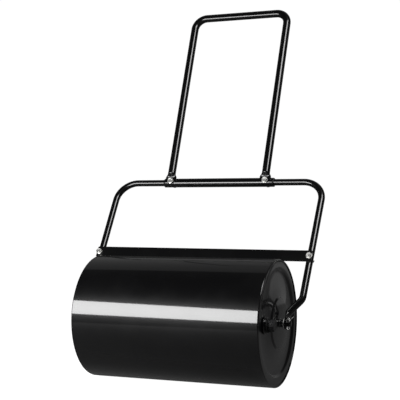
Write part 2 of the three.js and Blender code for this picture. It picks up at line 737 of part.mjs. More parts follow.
function frameGroup() {
  const group = new THREE.Group();
  group.position.z = AXLE_HEIGHT;
  group.rotation.x = -radians(FRAME_LEAN);
  const right = sideTube();
  const tubes = { left: mirrored(right), right };
  group.add(mesh("axle", axleRod(), zinc()));
  for (const { name, sign } of SIDES) {
    const inner = sign > 0 ? INNER_WASHER : -INNER_WASHER - AXLE_WASHER_THICKNESS;
    const outer = sign > 0 ? OUTER_WASHER : -OUTER_WASHER - AXLE_WASHER_THICKNESS;
    const pin = sign > 0 ? splitPin() : mirrored(splitPin());
    group.add(
      mesh(`side_tube_${name}`, tubes[name], paint(0x0a0b0d)),
      mesh(`inner_washer_${name}`, axleWasher(inner), zinc()),
      mesh(`outer_washer_${name}`, axleWasher(outer), zinc()),
      mesh(`split_pin_${name}`, pin, zinc(), sign * PIN_PLACE, 0, 0),
      ...boltThrough(`bar_${name}`, sign * BAR_BOLT_X, BAR_PLACE, BAR_FRONT, SIDE_TUBE_RADIUS),
    );
  }
  group.add(
    mesh("sleeve_tube", sleeveTube(), paint(0x0a0b0d), 0, 0, FRAME_LENGTH),
    mesh("scraper_bar", crossBar(), paint(0x0c0d0f), 0, -BAR_BACK, BAR_PLACE),
    handleGroup(),
  );
  return group;
}

const lawnRoller = new THREE.Group();
lawnRoller.add(drumGroup(), frameGroup());

export default lawnRoller;
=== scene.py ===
"""A garden lawn roller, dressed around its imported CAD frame.

Sizes inside the classes are in millimetres, as on a workshop drawing, and each mesh is scaled to metres
as it is made. The drum lies along X, the handle leans back along +Y, and the ground is at Z = 0.
"""

from __future__ import annotations

import logging  # noqa: E402
import math  # noqa: E402
from collections.abc import Callable, Sequence  # noqa: E402
from dataclasses import dataclass, field  # noqa: E402
from enum import Enum  # noqa: E402
from functools import cached_property  # noqa: E402

import bmesh  # noqa: E402
import bpy  # noqa: E402
from mathutils import Matrix, Vector  # noqa: E402


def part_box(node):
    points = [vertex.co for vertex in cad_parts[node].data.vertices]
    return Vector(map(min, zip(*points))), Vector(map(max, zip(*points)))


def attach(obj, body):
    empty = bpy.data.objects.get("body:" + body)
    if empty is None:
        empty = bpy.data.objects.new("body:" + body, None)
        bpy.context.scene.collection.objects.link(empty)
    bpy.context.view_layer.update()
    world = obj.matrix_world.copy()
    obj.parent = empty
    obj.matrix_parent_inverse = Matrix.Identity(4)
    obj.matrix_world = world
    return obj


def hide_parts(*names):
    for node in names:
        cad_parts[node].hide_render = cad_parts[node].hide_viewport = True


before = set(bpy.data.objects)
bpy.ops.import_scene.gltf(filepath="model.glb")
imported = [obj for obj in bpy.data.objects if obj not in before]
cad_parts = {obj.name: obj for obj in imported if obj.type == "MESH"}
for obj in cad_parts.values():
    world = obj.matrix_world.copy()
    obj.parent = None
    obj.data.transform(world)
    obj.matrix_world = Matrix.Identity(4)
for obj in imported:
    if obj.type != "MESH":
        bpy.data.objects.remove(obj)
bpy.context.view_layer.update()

MM = 0.001
SEAT_GAP = 0.3
LOG = logging.getLogger("lawn_roller")

Point = tuple[float, float]
Ring = list[Vector]
Run = tuple[float, float, float, float, float]


class Body(Enum):
    """The moving bodies of the roller."""

    FRAME = "frame"
    DRUM = "drum"
    SEAL = "filler_seal_ring"
    PLUG = "filler_plug_body"


class Side(Enum):
    """The two ends of the drum, by the sign of X."""

    LEFT = -1
    RIGHT = 1

    @property
    def label(self) -> str:
        """The side's name as the CAD nodes spell it."""
        return self.name.lower()

    @property
    def from_right(self) -> Matrix:
        """The move that turns a right-hand form into this side's."""
        return Matrix.Diagonal((float(self.value), 1.0, 1.0, 1.0))


# ---------------------------------------------------------------- shader expressions


class Value:
    """A number that changes over a surface, with the arithmetic that the finishes use."""

    def __init__(self, shader: Shader, socket: bpy.types.NodeSocket) -> None:
        """Keeps the node tree and the output socket that carries the number."""
        self.shader = shader
        self.socket = socket

    def _math(self, operation: str, first: Value | float, second: Value | float) -> Value:
        """Adds one Math node.

        Args:
            operation: the Math node's operation.
            first: its first number or link.
            second: its second number or link.

        Returns:
            The node's result.
        """
        node = self.shader.node("ShaderNodeMath", {"operation": operation}, {0: first, 1: second})
        return Value(self.shader, node.outputs[0])

    def __add__(self, other: Value | float) -> Value:
        """This number plus another."""
        return self._math("ADD", self, other)

    def __radd__(self, other: float) -> Value:
        """A plain number plus this one."""
        return self._math("ADD", other, self)

    def __sub__(self, other: Value | float) -> Value:
        """This number less another."""
        return self._math("SUBTRACT", self, other)

    def __rsub__(self, other: float) -> Value:
        """A plain number less this one."""
        return self._math("SUBTRACT", other, self)

    def __mul__(self, other: Value | float) -> Value:
        """This number times another."""
        return self._math("MULTIPLY", self, other)

    def __rmul__(self, other: float) -> Value:
        """A plain number times this one."""
        return self._math("MULTIPLY", other, self)


class Shader:
    """The node tree of one finish, of a floor or of the surround."""

    def __init__(self, owner: bpy.types.Material | bpy.types.World) -> None:
        """Empties the tree of its owner.

        Args:
            owner: the material or the world that the tree belongs to.
        """
        self.owner = owner
        owner.use_nodes = True
        self.tree = owner.node_tree
        self.tree.nodes.clear()

    @cached_property
    def place(self) -> bpy.types.NodeSocket:
        """The place on the piece, in metres."""
        return self.node("ShaderNodeTexCoord").outputs["Object"]

    def node(self, kind: str, settings: dict | None = None, sockets: dict | None = None) -> bpy.types.Node:
        """Adds one node.

        Args:
            kind: the node's type.
            settings: the node's own properties, set first; "stops" holds a ramp's (place, grey) pairs.
            sockets: a number, colour, link or Value for each input, by name or index.

        Returns:
            The node.
        """
        node = self.tree.nodes.new(kind)
        for key, setting in (settings or {}).items():
            if key == "stops":
                self._set_stops(node.color_ramp, setting)
            else:
                setattr(node, key, setting)
        for key, given in (sockets or {}).items():
            source = given.socket if isinstance(given, Value) else given
            if isinstance(source, bpy.types.NodeSocket):
                self.tree.links.new(source, node.inputs[key])
            else:
                node.inputs[key].default_value = source
        return node

    @staticmethod
    def _set_stops(ramp: bpy.types.ColorRamp, stops: Sequence[Point]) -> None:
        """Sets a colour ramp's stops.

        Args:
            ramp: the ramp, which starts with two stops.
            stops: each stop's place and grey value.
        """
        for _ in stops[2:]:
            ramp.elements.new(1.0)
        for element, (place, grey) in zip(ramp.elements, stops):
            element.position = place
            element.color = (grey, grey, grey, 1.0)

    def stretched(self, scale: tuple[float, float, float]) -> bpy.types.NodeSocket:
        """The place on the piece, scaled along each axis so that a pattern runs long on the small ones."""
        sockets = {"Vector": self.place, "Scale": scale}
        return self.node("ShaderNodeMapping", sockets=sockets).outputs["Vector"]

    def noise(self, scale: float, detail: float = 2.0, place: bpy.types.NodeSocket | None = None) -> Value:
        """A soft random pattern.

        Args:
            scale: how many blotches stand in a metre.
            detail: how many finer layers it has.
            place: the coordinates it follows, or none for the plain place on the piece.

        Returns:
            The pattern, from 0 to 1.
        """
        sockets = {"Vector": place or self.place, "Scale": scale, "Detail": detail, "Roughness": 0.55}
        return Value(self, self.node("ShaderNodeTexNoise", sockets=sockets).outputs["Fac"])

    def ramp(self, value: Value, *stops: Point) -> Value:
        """The value sent through a grey ramp with these stops."""
        node = self.node("ShaderNodeValToRGB", {"stops": stops}, {"Fac": value})
        return Value(self, node.outputs["Color"])

    def tint(self, mask: Value, plain: Sequence[float], marked: Sequence[float]) -> bpy.types.NodeSocket:
        """One colour where the mask is 0 and another where it is 1.

        Args:
            mask: the share of the marked colour.
            plain: the colour at 0.
            marked: the colour at 1.

        Returns:
            The mixed colour.
        """
        sockets = {0: mask, 6: (*plain, 1.0), 7: (*marked, 1.0)}
        return self.node("ShaderNodeMix", {"data_type": "RGBA"}, sockets).outputs[2]

    def bump(self, height: Value, depth: float) -> bpy.types.NodeSocket:
        """A relief of the given depth in metres from a height pattern."""
        sockets = {"Height": height, "Distance": depth, "Strength": 1.0}
        return self.node("ShaderNodeBump", sockets=sockets).outputs["Normal"]

    def surface(self, sockets: dict) -> bpy.types.Material:
        """Ends the tree in a Principled shader.

        Args:
            sockets: its inputs.

        Returns:
            The finished material.
        """
        shader = self.node("ShaderNodeBsdfPrincipled", sockets=sockets)
        self.node("ShaderNodeOutputMaterial", sockets={"Surface": shader.outputs["BSDF"]})
        return self.owner


# ---------------------------------------------------------------- finishes


@dataclass(frozen=True)
class Enamel:
    """Stoved black enamel: a fine orange peel, faint smudges, a little dust and hairline scratches."""

    name: str
    slot: str
    colour: tuple[float, float, float] = (0.0014, 0.0014, 0.0016)
    dust: tuple[float, float, float] = (0.03, 0.03, 0.03)
    dust_share: float = 0.06
    roughness: float = 0.32
    smudge: float = 0.06
    gloss: float = 0.07
    base_shine: float = 0.12
    peel: float = 0.000005
    peel_scale: float = 420.0
    scratch: float = 0.12
    smudge_scale: float = 14.0
    grit_scale: float = 900.0
    hairline_scale: float = 6.0

    def material(self) -> bpy.types.Material:
        """Builds the material.

        Returns:
            The material.
        """
        shader = Shader(bpy.data.materials.new(self.name))
        smudges = shader.ramp(shader.noise(self.smudge_scale, 4.0), (0.42, 0.0), (0.72, 1.0))
        grit = shader.ramp(shader.noise(self.grit_scale, 2.0), (0.60, 0.0), (0.78, 1.0))
        along = shader.noise(self.hairline_scale, 3.0, shader.stretched((0.35, 46.0, 46.0)))
        hairlines = shader.ramp(along, (0.655, 0.0), (0.68, 1.0), (0.705, 0.0))
        peel = shader.noise(self.peel_scale, 1.0) + 0.5 * shader.noise(self.peel_scale * 2.6, 1.0)
        dust = self.dust_share * (smudges * grit + 0.25 * smudges)
        rough = self.roughness + self.smudge * smudges + self.scratch * hairlines * smudges
        return shader.surface(
            {
                "Base Color": shader.tint(dust, self.colour, self.dust),
                "Roughness": rough,
                "Normal": shader.bump(peel - 0.3 * hairlines, self.peel),
                "Coat Weight": 1.0 - 0.25 * smudges * grit - 0.2 * hairlines * smudges,
                "Coat Roughness": self.gloss,
                "Coat IOR": 1.5,
                "Specular IOR Level": self.base_shine,
                "IOR": 1.5,
            }
        )


@dataclass(frozen=True)
class Zinc:
    """Bright zinc plating on steel: cloudy, a little yellow, with fine turning lines."""

    name: str = "zinc_steel"
    slot: str = "zinc_steel"
    bright: tuple[float, float, float] = (0.92, 0.92, 0.90)
    cloud: tuple[float, float, float] = (0.62, 0.62, 0.59)
    roughness: float = 0.36
    relief: float = 0.00002
    cloud_scale: float = 260.0
    pit_scale: float = 1900.0
    line_scale: float = 30.0

    def material(self) -> bpy.types.Material:
        """Builds the material.

        Returns:
            The material.
        """
        shader = Shader(bpy.data.materials.new(self.name))
        clouds = shader.ramp(shader.noise(self.cloud_scale, 4.0), (0.35, 0.0), (0.70, 1.0))
        pits = shader.ramp(shader.noise(self.pit_scale, 2.0), (0.50, 0.0), (0.75, 1.0))
        lines = shader.noise(self.line_scale, 2.0, shader.stretched((2.0, 90.0, 90.0)))
        return shader.surface(
            {
                "Base Color": shader.tint(clouds, self.bright, self.cloud),
                "Metallic": 1.0,
                "Roughness": self.roughness + 0.16 * clouds + 0.10 * pits,
                "Normal": shader.bump(0.6 * lines - 0.5 * pits, self.relief),
            }
        )


@dataclass(frozen=True)
class Moulded:
    """A moulded rubber or plastic with a fine grain."""

    name: str
    slot: str
    colour: tuple[float, float, float]
    worn: tuple[float, float, float]
    roughness: float
    grain_scale: float = 1400.0
    blotch_scale: float = 70.0
    relief: float = 0.00003

    def material(self) -> bpy.types.Material:
        """Builds the material.

        Returns:
            The material.
        """
        shader = Shader(bpy.data.materials.new(self.name))
        grain = shader.noise(self.grain_scale, 3.0)
        blotches = shader.ramp(shader.noise(self.blotch_scale, 3.0), (0.40, 0.0), (0.75, 1.0))
        return shader.surface(
            {
                "Base Color": shader.tint(0.6 * blotches, self.colour, self.worn),
                "Roughness": self.roughness + 0.10 * blotches + 0.06 * grain,
                "Normal": shader.bump(grain, self.relief),
            }
        )


Finish = Enamel | Zinc | Moulded

DRUM_ENAMEL = Enamel("drum_enamel", "drum_paint")
PLATE_ENAMEL = Enamel("plate_enamel", "plate_paint", (0.004, 0.004, 0.0044), gloss=0.07, peel_scale=520.0)
TUBE_ENAMEL = Enamel(
    "tube_enamel", "tube_paint", (0.0012, 0.0012, 0.0013), gloss=0.06, peel=0.000002, scratch=0.05
)
BAR_ENAMEL = Enamel("bar_enamel", "bar_paint", (0.0018, 0.0018, 0.0020), gloss=0.14)
ZINC = Zinc()
RUBBER = Moulded("seal_rubber", "seal_rubber", (0.006, 0.006, 0.006), (0.012, 0.012, 0.012), 0.62)
PLASTIC = Moulded("plug_plastic", "plug_plastic", (0.012, 0.012, 0.013), (0.022, 0.022, 0.023), 0.34)


# ---------------------------------------------------------------- forms


def circle(radius: float, sides: int, along: float) -> Ring:
    """A ring about the X axis.

    Args:
        radius: its radius.
        sides: how many points it has.
        along: its place on the axis.

    Returns:
        Its points.
    """
    turns = (2 * math.pi * i / sides for i in range(sides))
    return [Vector((along, radius * math.cos(turn), radius * math.sin(turn))) for turn in turns]


def loft(rings: Sequence[Ring], loop: bool = False) -> bmesh.types.BMesh:
    """Skins a row of rings that have the same number of points.

    Args:
        rings: the rings in order.
        loop: whether the last ring joins the first; otherwise both ends are capped.

    Returns:
        The closed form.
    """
    form = bmesh.new()
    rows = [[form.verts.new(point) for point in ring] for ring in rings]
    pairs = list(zip(rows, rows[1:])) + ([(rows[-1], rows[0])] if loop else [])
    for here, there in pairs:
        for i, point in enumerate(here):
            j = (i + 1) % len(here)
            form.faces.new((point, here[j], there[j], there[i]))
    if not loop:
        form.faces.new(rows[0])
        form.faces.new(rows[-1])
    return form


def turned(profile: Sequence[Point], sides: int = 96, loop: bool = True) -> bmesh.types.BMesh:
    """A form turned about the X axis.

    Args:
        profile: its (radius, place along the axis) points.
        sides: how many points each ring has.
        loop: whether the profile closes on itself.

    Returns:
        The form.
    """
    return loft([circle(radius, sides, along) for radius, along in profile], loop)


def arc(centre: Point, radius: float, start: float, end: float, steps: int = 5) -> list[Point]:
    """Points along an arc.

    Args:
        centre: the arc's middle.
        radius: its radius.
        start: its first angle in degrees.
        end: its last angle in degrees.
        steps: how many steps lie between them.

    Returns:
        The points.
    """
    angles = (math.radians(start + (end - start) * step / steps) for step in range(steps + 1))
    return [(centre[0] + radius * math.cos(a), centre[1] + radius * math.sin(a)) for a in angles]


def washer_profile(inner: float, outer: float, low: float, high: float, edge: float = 0.35) -> list[Point]:
    """The section of a ring with broken edges.

    Args:
        inner: the bore's radius.
        outer: the outside radius.
        low: where the ring starts on the axis.
        high: where it ends.
        edge: how far each edge is rounded.

    Returns:
        The section's (radius, along) points.
    """
    return [
        *arc((outer - edge, low + edge), edge, -90, 0, 3),
        *arc((outer - edge, high - edge), edge, 0, 90, 3),
        *arc((inner + edge, high - edge), edge, 90, 180, 3),
        *arc((inner + edge, low + edge), edge, 180, 270, 3),
    ]


def swage(start: Point, end: Point, steps: int = 10) -> list[Point]:
    """An S-shaped step in a pressed plate.

    Args:
        start: its first (radius, height).
        end: its last (radius, height).
        steps: how many steps lie between them.

    Returns:
        The points of the step.
    """
    points = []
    for step in range(steps + 1):
        share = step / steps
        ease = (1 - math.cos(math.pi * share)) / 2
        points.append((start[0] + (end[0] - start[0]) * share, start[1] + (end[1] - start[1]) * ease))
    return points


def sheet_outline(line: Sequence[Point], thickness: float) -> list[Point]:
    """The closed section of a sheet: a line and the same line moved square to its run, to its left.

    Args:
        line: the line's points.
        thickness: the sheet's thickness.

    Returns:
        The section's points.
    """
    headings = [math.atan2(b[1] - a[1], b[0] - a[0]) for a, b in zip(line, line[1:])]
    back = []
    for i, (x, y) in enumerate(line):
        before, after = headings[max(0, i - 1)], headings[min(len(headings) - 1, i)]
        half_turn = math.remainder(after - before, 2 * math.pi) / 2
        normal = before + half_turn + math.pi / 2
        reach = thickness / math.cos(half_turn)
        back.append((x + reach * math.cos(normal), y + reach * math.sin(normal)))
    return [*line, *reversed(back)]


@dataclass(frozen=True)
class Place:
    """A place on a bent line: where it is in the U-V plane, its heading and its distance along."""

    u: float
    v: float
    heading: float
    along: float


@dataclass(frozen=True)
class BentLine:
    """A line with rounded corners in a plane with axes U and V."""

    corners: Sequence[Point]
    radii: Sequence[float]
    bend_step: float = math.radians(4)
    straight_step: float = 2.5
    shortest: float = 0.03

    def places(self, fine: Sequence[tuple[float, float]] = ()) -> list[Place]:
        """Walks the line.

        Args:
            fine: stretches from one distance to another that take closely spaced places; a distance
                below zero counts back from the end.

        Returns:
            The places in order.
        """
        runs = self._runs()
        total = sum(run[3] for run in runs)
        spans = [tuple(reach % total if reach < 0 else reach for reach in span) for span in fine]
        places: list[Place] = []
        passed = 0.0
        for run in runs:
            length, turn = run[3:]
            for distance in self._stops(length, turn, passed, spans):
                places.append(self._place(run, distance, passed))
            passed += length
        places.append(self._place(runs[-1], length, passed - length))
        return places

    def _runs(self) -> list[Run]:
        """The straights and bends of the line.

        Returns:
            Each one's start (u, v), heading, length and turn, in order.
        """
        runs = []
        start = self.corners[0]
        for i in range(1, len(self.corners)):
            (a, b), (c, d) = self.corners[i - 1], self.corners[i]
            heading = math.atan2(d - b, c - a)
            turn = trim = 0.0
            if i + 1 < len(self.corners):
                e, f = self.corners[i + 1]
                turn = math.remainder(math.atan2(f - d, e - c) - heading, 2 * math.pi)
                trim = self.radii[i - 1] * math.tan(abs(turn) / 2)
            end = (c - trim * math.cos(heading), d - trim * math.sin(heading))
            length = math.dist(start, end)
            if length > self.shortest:
                runs.append((*start, heading, length, 0.0))
            if turn:
                runs.append((*end, heading, self.radii[i - 1] * abs(turn), turn))
            out = heading + turn
            start = (c + trim * math.cos(out), d + trim * math.sin(out))
        return runs

    def _stops(self, length: float, turn: float, passed: float, spans: list[Point]) -> list[float]:
        """Distances into one run at which the line takes a place.

        Args:
            length: the run's length.
            turn: how far it turns, or 0 for a straight.
            passed: the distance along the line at which it starts.
            spans: the stretches that take closely spaced places.

        Returns:
            The distances, from 0 up to but not at the run's end.
        """
        if turn:
            steps = math.ceil(abs(turn) / self.bend_step)
            return [length * step / steps for step in range(steps)]
        stops = [0.0]
        for low, high in spans:
            first, last = max(0.0, low - passed), min(length, high - passed)
            if last <= first:
                continue
            steps = math.ceil((last - first) / self.straight_step)
            stops += [first + (last - first) * step / steps for step in range(steps + 1)]
        stops.sort()
        kept = [stops[0]]
        for stop in stops[1:]:
            if stop - kept[-1] > self.straight_step / 5 and length - stop > self.straight_step / 5:
                kept.append(stop)
        return kept

    @staticmethod
    def _place(run: Run, distance: float, passed: float) -> Place:
        """The place at a distance into one run.

        Args:
            run: the run's start (u, v), heading, length and turn.
            distance: the distance into it.
            passed: the distance along the line at which it starts.

        Returns:
            The place.
        """
        u, v, heading, length, turn = run
        along = passed + distance
        if not turn:
            return Place(u + distance * math.cos(heading), v + distance * math.sin(heading), heading, along)
        radius = length / turn
        out = heading + distance / radius
        across = radius * (math.sin(out) - math.sin(heading))
        up = radius * (math.cos(out) - math.cos(heading))
        return Place(u + across, v - up, out, along)


@dataclass(frozen=True)
class Press:
    """A press that flattens a tube's end: the flat's length, the blend back to round, half thickness."""

    flat: float
    blend: float
    half: float
    ends: tuple[bool, bool] = (True, False)
    wide_in_plane: bool = False

    def half_width(self, radius: float) -> float:
        """Half the flat's width, from a tube of this radius whose girth stays the same."""
        return self.half + math.pi * (radius - self.half) / 2

    def section(self, angle: float, radius: float, half: float) -> Point:
        """One point of the flattened section, as (wide, thin).

        Args:
            angle: where the point stands on the round section, from its wide axis.
            radius: the round section's radius.
            half: half the thickness that this layer is pressed to.

        Returns:
            The point once it is pressed.
        """
        reach = half + math.pi * (radius - half) / 2
        girth = math.asin(min(1.0, abs(math.sin(angle)))) * radius
        corner = math.pi * half / 2
        turn = girth / half if girth <= corner else math.pi / 2
        wide = reach - half + half * math.cos(turn) - max(0.0, girth - corner)
        thin = half * math.sin(turn)
        return math.copysign(wide, math.cos(angle)), math.copysign(thin, math.sin(angle))


@dataclass(frozen=True)
class Tube:
    """A round tube or wire along a bent line in the X-Z plane, with pressed ends where it has a press."""

    line: BentLine
    radius: float
    wall: float = 0.0
    press: Press | None = None
    sides: int = 48

    def form(self) -> bmesh.types.BMesh:
        """Builds the tube.

        Returns:
            The tube's closed form.
        """
        fine = []
        if self.press:
            reach = self.press.flat + self.press.blend + 1
            fine = [(0.0, reach)] if self.press.ends[0] else []
            fine += [(-reach, -0.001)] if self.press.ends[1] else []
        places = self.line.places(fine)
        total = places[-1].along
        outer = [self._ring(place, total, 0.0) for place in places]
        if not self.wall:
            return loft(outer)
        inner = [self._ring(place, total, self.wall) for place in places]
        return loft([*outer, *reversed(inner)], loop=True)

    def _ring(self, place: Place, total: float, depth: float) -> Ring:
        """The tube's section at one place.

        Args:
            place: the place on the line.
            total: the line's whole length.
            depth: how far under the outer face this layer lies.

        Returns:
            The section's points.
        """
        cos, sin = math.cos(place.heading), math.sin(place.heading)
        ring = []
        for i in range(self.sides):
            angle = 2 * math.pi * (i + 0.5) / self.sides
            left, out, shift = self._point(angle, place.along, total, depth)
            u = place.u + shift * cos - left * sin
            v = place.v + shift * sin + left * cos
            ring.append(Vector((u, -out, v)))
        return ring

    def _point(self, angle: float, along: float, total: float, depth: float) -> tuple[float, float, float]:
        """One point of a section, as its places to the left, outwards and forwards.

        Args:
            angle: where it stands on the round section.
            along: the section's distance along the line.
            total: the line's whole length.
            depth: how far under the outer face it lies.

        Returns:
            Its distances to the left of the line, out of the plane, and along the line.
        """
        radius = self.radius - depth
        left, out, shift = radius * math.cos(angle), radius * math.sin(angle), 0.0
        if not self.press:
            return left, out, shift
        for at_end, pressed in enumerate(self.press.ends):
            distance = total - along if at_end else along
            share = min(1.0, max(0.0, (distance - self.press.flat) / self.press.blend))
            flatness = 1 - share * share * (3 - 2 * share)
            if not pressed or flatness <= 0:
                continue
            turned90 = angle if self.press.wide_in_plane else angle - math.pi / 2
            wide, thin = self.press.section(turned90, radius, self.press.half - depth)
            flat_left, flat_out = (wide, thin) if self.press.wide_in_plane else (-thin, wide)
            left += (flat_left - left) * flatness
            out += (flat_out - out) * flatness
            width = self.press.half_width(self.radius)
            rounding = width - math.sqrt(max(0.0, width * width - wide * wide))
            near_end = max(0.0, 1 - distance / width)
            shift += near_end * rounding * (-1 if at_end else 1)
        return left, out, shift


def hexagon(across_flats: float, cone: float, sides: int) -> Callable[[float], Ring]:
    """A hexagon about the X axis whose corners stay inside a round limit.

    Args:
        across_flats: the width over two opposite flats.
        cone: the radius of the limit, as a chamfer leaves it.
        sides: how many points the ring has.

    Returns:
        A function that gives the ring at a place along the axis.
    """

    def ring(along: float) -> Ring:
        """The ring at a place along the axis.

        Args:
            along: the place.

        Returns:
            Its points.
        """
        points = []
        for i in range(sides):
            turn = 2 * math.pi * i / sides
            to_flat = math.remainder(turn - math.pi / 6, math.pi / 3)
            radius = min(across_flats / 2 / math.cos(to_flat), cone)
            points.append(Vector((along, radius * math.cos(turn), radius * math.sin(turn))))
        return points

    return ring


def thread_rings(
    radius: float, depth: float, pitch: float, start: float, end: float, sides: int
) -> list[Ring]:
    """The rings of a helical thread about the X axis.

    Args:
        radius: the thread's outer radius.
        depth: how deep its groove is.
        pitch: the groove's travel in one turn.
        start: where the thread begins on the axis.
        end: where it ends.
        sides: how many points each ring has.

    Returns:
        The rings in order.
    """
    steps = math.ceil(abs(end - start) / (pitch / 8))
    rings = []
    for step in range(steps + 1):
        along = start + (end - start) * step / steps
        lead = min(1.0, 6 * step / steps, 6 * (steps - step) / steps)
        points = []
        for i in range(sides):
            phase = (along / pitch - i / sides) % 1
            groove = depth * lead * abs(2 * phase - 1)
            turn = 2 * math.pi * i / sides
            reach = radius - groove
            points.append(Vector((along, reach * math.cos(turn), reach * math.sin(turn))))
        rings.append(points)
    return rings


def weld_bead(radius: float, along: float, size: float, ripples: int) -> bmesh.types.BMesh:
    """A rippled fillet of weld round the X axis, in the corner of a tube and a plate that faces +X.

    Args:
        radius: the tube's radius.
        along: where the plate's face stands.
        size: the fillet's leg.
        ripples: how many ripples it has all round.

    Returns:
        The bead.
    """
    rings = []
    root = 0.4
    sides = ripples * 6
    for i in range(sides):
        turn = 2 * math.pi * i / sides
        swell = size * (1 + 0.07 * math.sin(ripples * turn) + 0.05 * math.sin(3 * turn + 1))
        section = [(radius - root, along - root), (radius - root, along + swell)]
        section += arc((radius + 0.9 * size, along + 0.9 * size), 0.86 * size, 176, 274, 5)
        section += [(radius + swell, along - root)]
        rings.append([Vector((x, r * math.cos(turn), r * math.sin(turn))) for r, x in section])
    return loft(rings, loop=True)


# ---------------------------------------------------------------- the workshop

ALONG_Y = Matrix.Rotation(math.pi / 2, 4, "Z")
DOWN_Z = Matrix.Rotation(math.pi / 2, 4, "Y")
AS_MADE = Matrix.Identity(4)


@dataclass(frozen=True)
class Hole:
    """A drilled hole: its radius, where its middle and its X axis go, and the drill's length and sides."""

    radius: float
    place: Matrix
    length: float = 40.0
    sides: int = 50

    def form(self) -> bmesh.types.BMesh:
        """Builds the solid that the drill takes away.

        Returns:
            The solid.
        """
        half = self.length / 2
        drill = turned([(self.radius, -half), (self.radius, half)], self.sides, loop=False)
        drill.transform(self.place)
        bmesh.ops.recalc_face_normals(drill, faces=drill.faces)
        return drill


@dataclass
class Workshop:
    """Turns forms into dressed pieces, each on its body and in place of its CAD node."""

    crease: float = math.radians(32)
    weld_distance: float = 0.002
    pieces: list[bpy.types.Object] = field(default_factory=list)
    materials: dict[str, bpy.types.Material] = field(default_factory=dict)

    def finish(self, finish: Finish) -> bpy.types.Material:
        """The material of a finish, built the first time it is asked for.

        Args:
            finish: the finish.

        Returns:
            Its material.
        """
        if finish.name not in self.materials:
            self.materials[finish.name] = finish.material()
        return self.materials[finish.name]

    def piece(
        self,
        name: str,
        form: bmesh.types.BMesh,
        finish: Finish,
        body: Body,
        place: Matrix = AS_MADE,
        holes: Sequence[Hole] = (),
        replaces: bool = True,
    ) -> None:
        """Makes one piece.

        Args:
            name: the CAD node that it stands for, or its own name.
            form: its closed form in millimetres; it is used up.
            finish: what it is finished in.
            body: the body that it rides on.
            place: where the form goes.
            holes: what is drilled out of it before it goes there.
            replaces: whether it stands for the CAD node of its name.
        """
        bmesh.ops.recalc_face_normals(form, faces=form.faces)
        mesh = bpy.data.meshes.new(name + "_dressed")
        form.to_mesh(mesh)
        form.free()
        made = bpy.data.objects.new(name + "_dressed", mesh)
        bpy.context.scene.collection.objects.link(made)
        for hole in holes:
            self._drill(made, hole)
        self._scale_and_crease(made, Matrix.Scale(MM, 4) @ place)
        made.data.materials.clear()
        made.data.materials.append(self.finish(finish))
        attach(made, body.value)
        if replaces:
            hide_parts(name)
        self.pieces.append(made)
        LOG.info("%s: %d faces on %s in %s", name, len(made.data.polygons), body.value, finish.name)

    @staticmethod
    def _drill(made: bpy.types.Object, hole: Hole) -> None:
        """Takes one hole out of a piece's mesh.

        Args:
            made: the piece.
            hole: the hole.
        """
        cutter_mesh = bpy.data.meshes.new("drill")
        form = hole.form()
        form.to_mesh(cutter_mesh)
        form.free()
        cutter = bpy.data.objects.new("drill", cutter_mesh)
        bpy.context.scene.collection.objects.link(cutter)
        drilling = made.modifiers.new("drill", "BOOLEAN")
        drilling.operation = "DIFFERENCE"
        drilling.solver = "EXACT"
        drilling.object = cutter
        bpy.context.view_layer.update()
        drilled = bpy.data.meshes.new_from_object(made.evaluated_get(bpy.context.evaluated_depsgraph_get()))
        made.modifiers.clear()
        made.data = drilled
        bpy.data.objects.remove(cutter)

    def _scale_and_crease(self, made: bpy.types.Object, place: Matrix) -> None:
        """Puts a mesh in its place in metres, smooth but for its creases.

        Args:
            made: the piece.
            place: the move and the scale.
        """
        form = bmesh.new()
        form.from_mesh(made.data)
        bmesh.ops.remove_doubles(form, verts=form.verts, dist=self.weld_distance)
        bmesh.ops.dissolve_degenerate(form, edges=form.edges, dist=self.weld_distance)
        form.transform(place)
        bmesh.ops.recalc_face_normals(form, faces=form.faces)
        if form.calc_volume(signed=True) < 0:
            bmesh.ops.reverse_faces(form, faces=form.faces)
        for face in form.faces:
            face.smooth = True
        for edge in form.edges:
            edge.smooth = len(edge.link_faces) == 2 and edge.calc_face_angle(0.0) < self.crease
        form.to_mesh(made.data)
        form.free()


# ---------------------------------------------------------------- places from the frame


def middle(node: str) -> Vector:
    """The middle of a CAD node's box, in millimetres."""
    low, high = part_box(node)
    return (low + high) / 2 / MM


def extent(node: str) -> Vector:
    """The size of a CAD node's box, in millimetres."""
    low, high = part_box(node)
    return (high - low) / MM


@dataclass(frozen=True)
class Layout:
    """Where the main lines of the roller stand, read from the frame."""

    axle_height: float
    drum_radius: float
    rim_plane: float
    frame_lean: float
    frame_length: float

    @classmethod
    def read(cls) -> Layout:
        """Reads the layout from the boxes of the CAD nodes.

        Returns:
            The layout.
        """
        drum, sleeve = middle("drum_shell"), middle("sleeve_tube")
        return cls(
            axle_height=drum.z,
            drum_radius=extent("drum_shell").z / 2,
            rim_plane=extent("drum_shell").x / 2,
            frame_lean=math.atan2(sleeve.y, sleeve.z - drum.z),
            frame_length=math.hypot(sleeve.y, sleeve.z - drum.z),
        )

    def on_axle(self) -> Matrix:
        """The move from the origin up to the axle."""
        return Matrix.Translation((0, 0, self.axle_height))

    def on_frame(self) -> Matrix:
        """The move onto the leaning frame, whose Z runs up the legs from the axle."""
        return self.on_axle() @ Matrix.Rotation(-self.frame_lean, 4, "X")

    def on_sleeve(self, lean: float) -> Matrix:
        """The move onto the sleeve, with Z along a handle that leans by this much."""
        up = Matrix.Translation((0, 0, self.frame_length))
        return self.on_frame() @ up @ Matrix.Rotation(self.frame_lean - lean, 4, "X")


# ---------------------------------------------------------------- drum


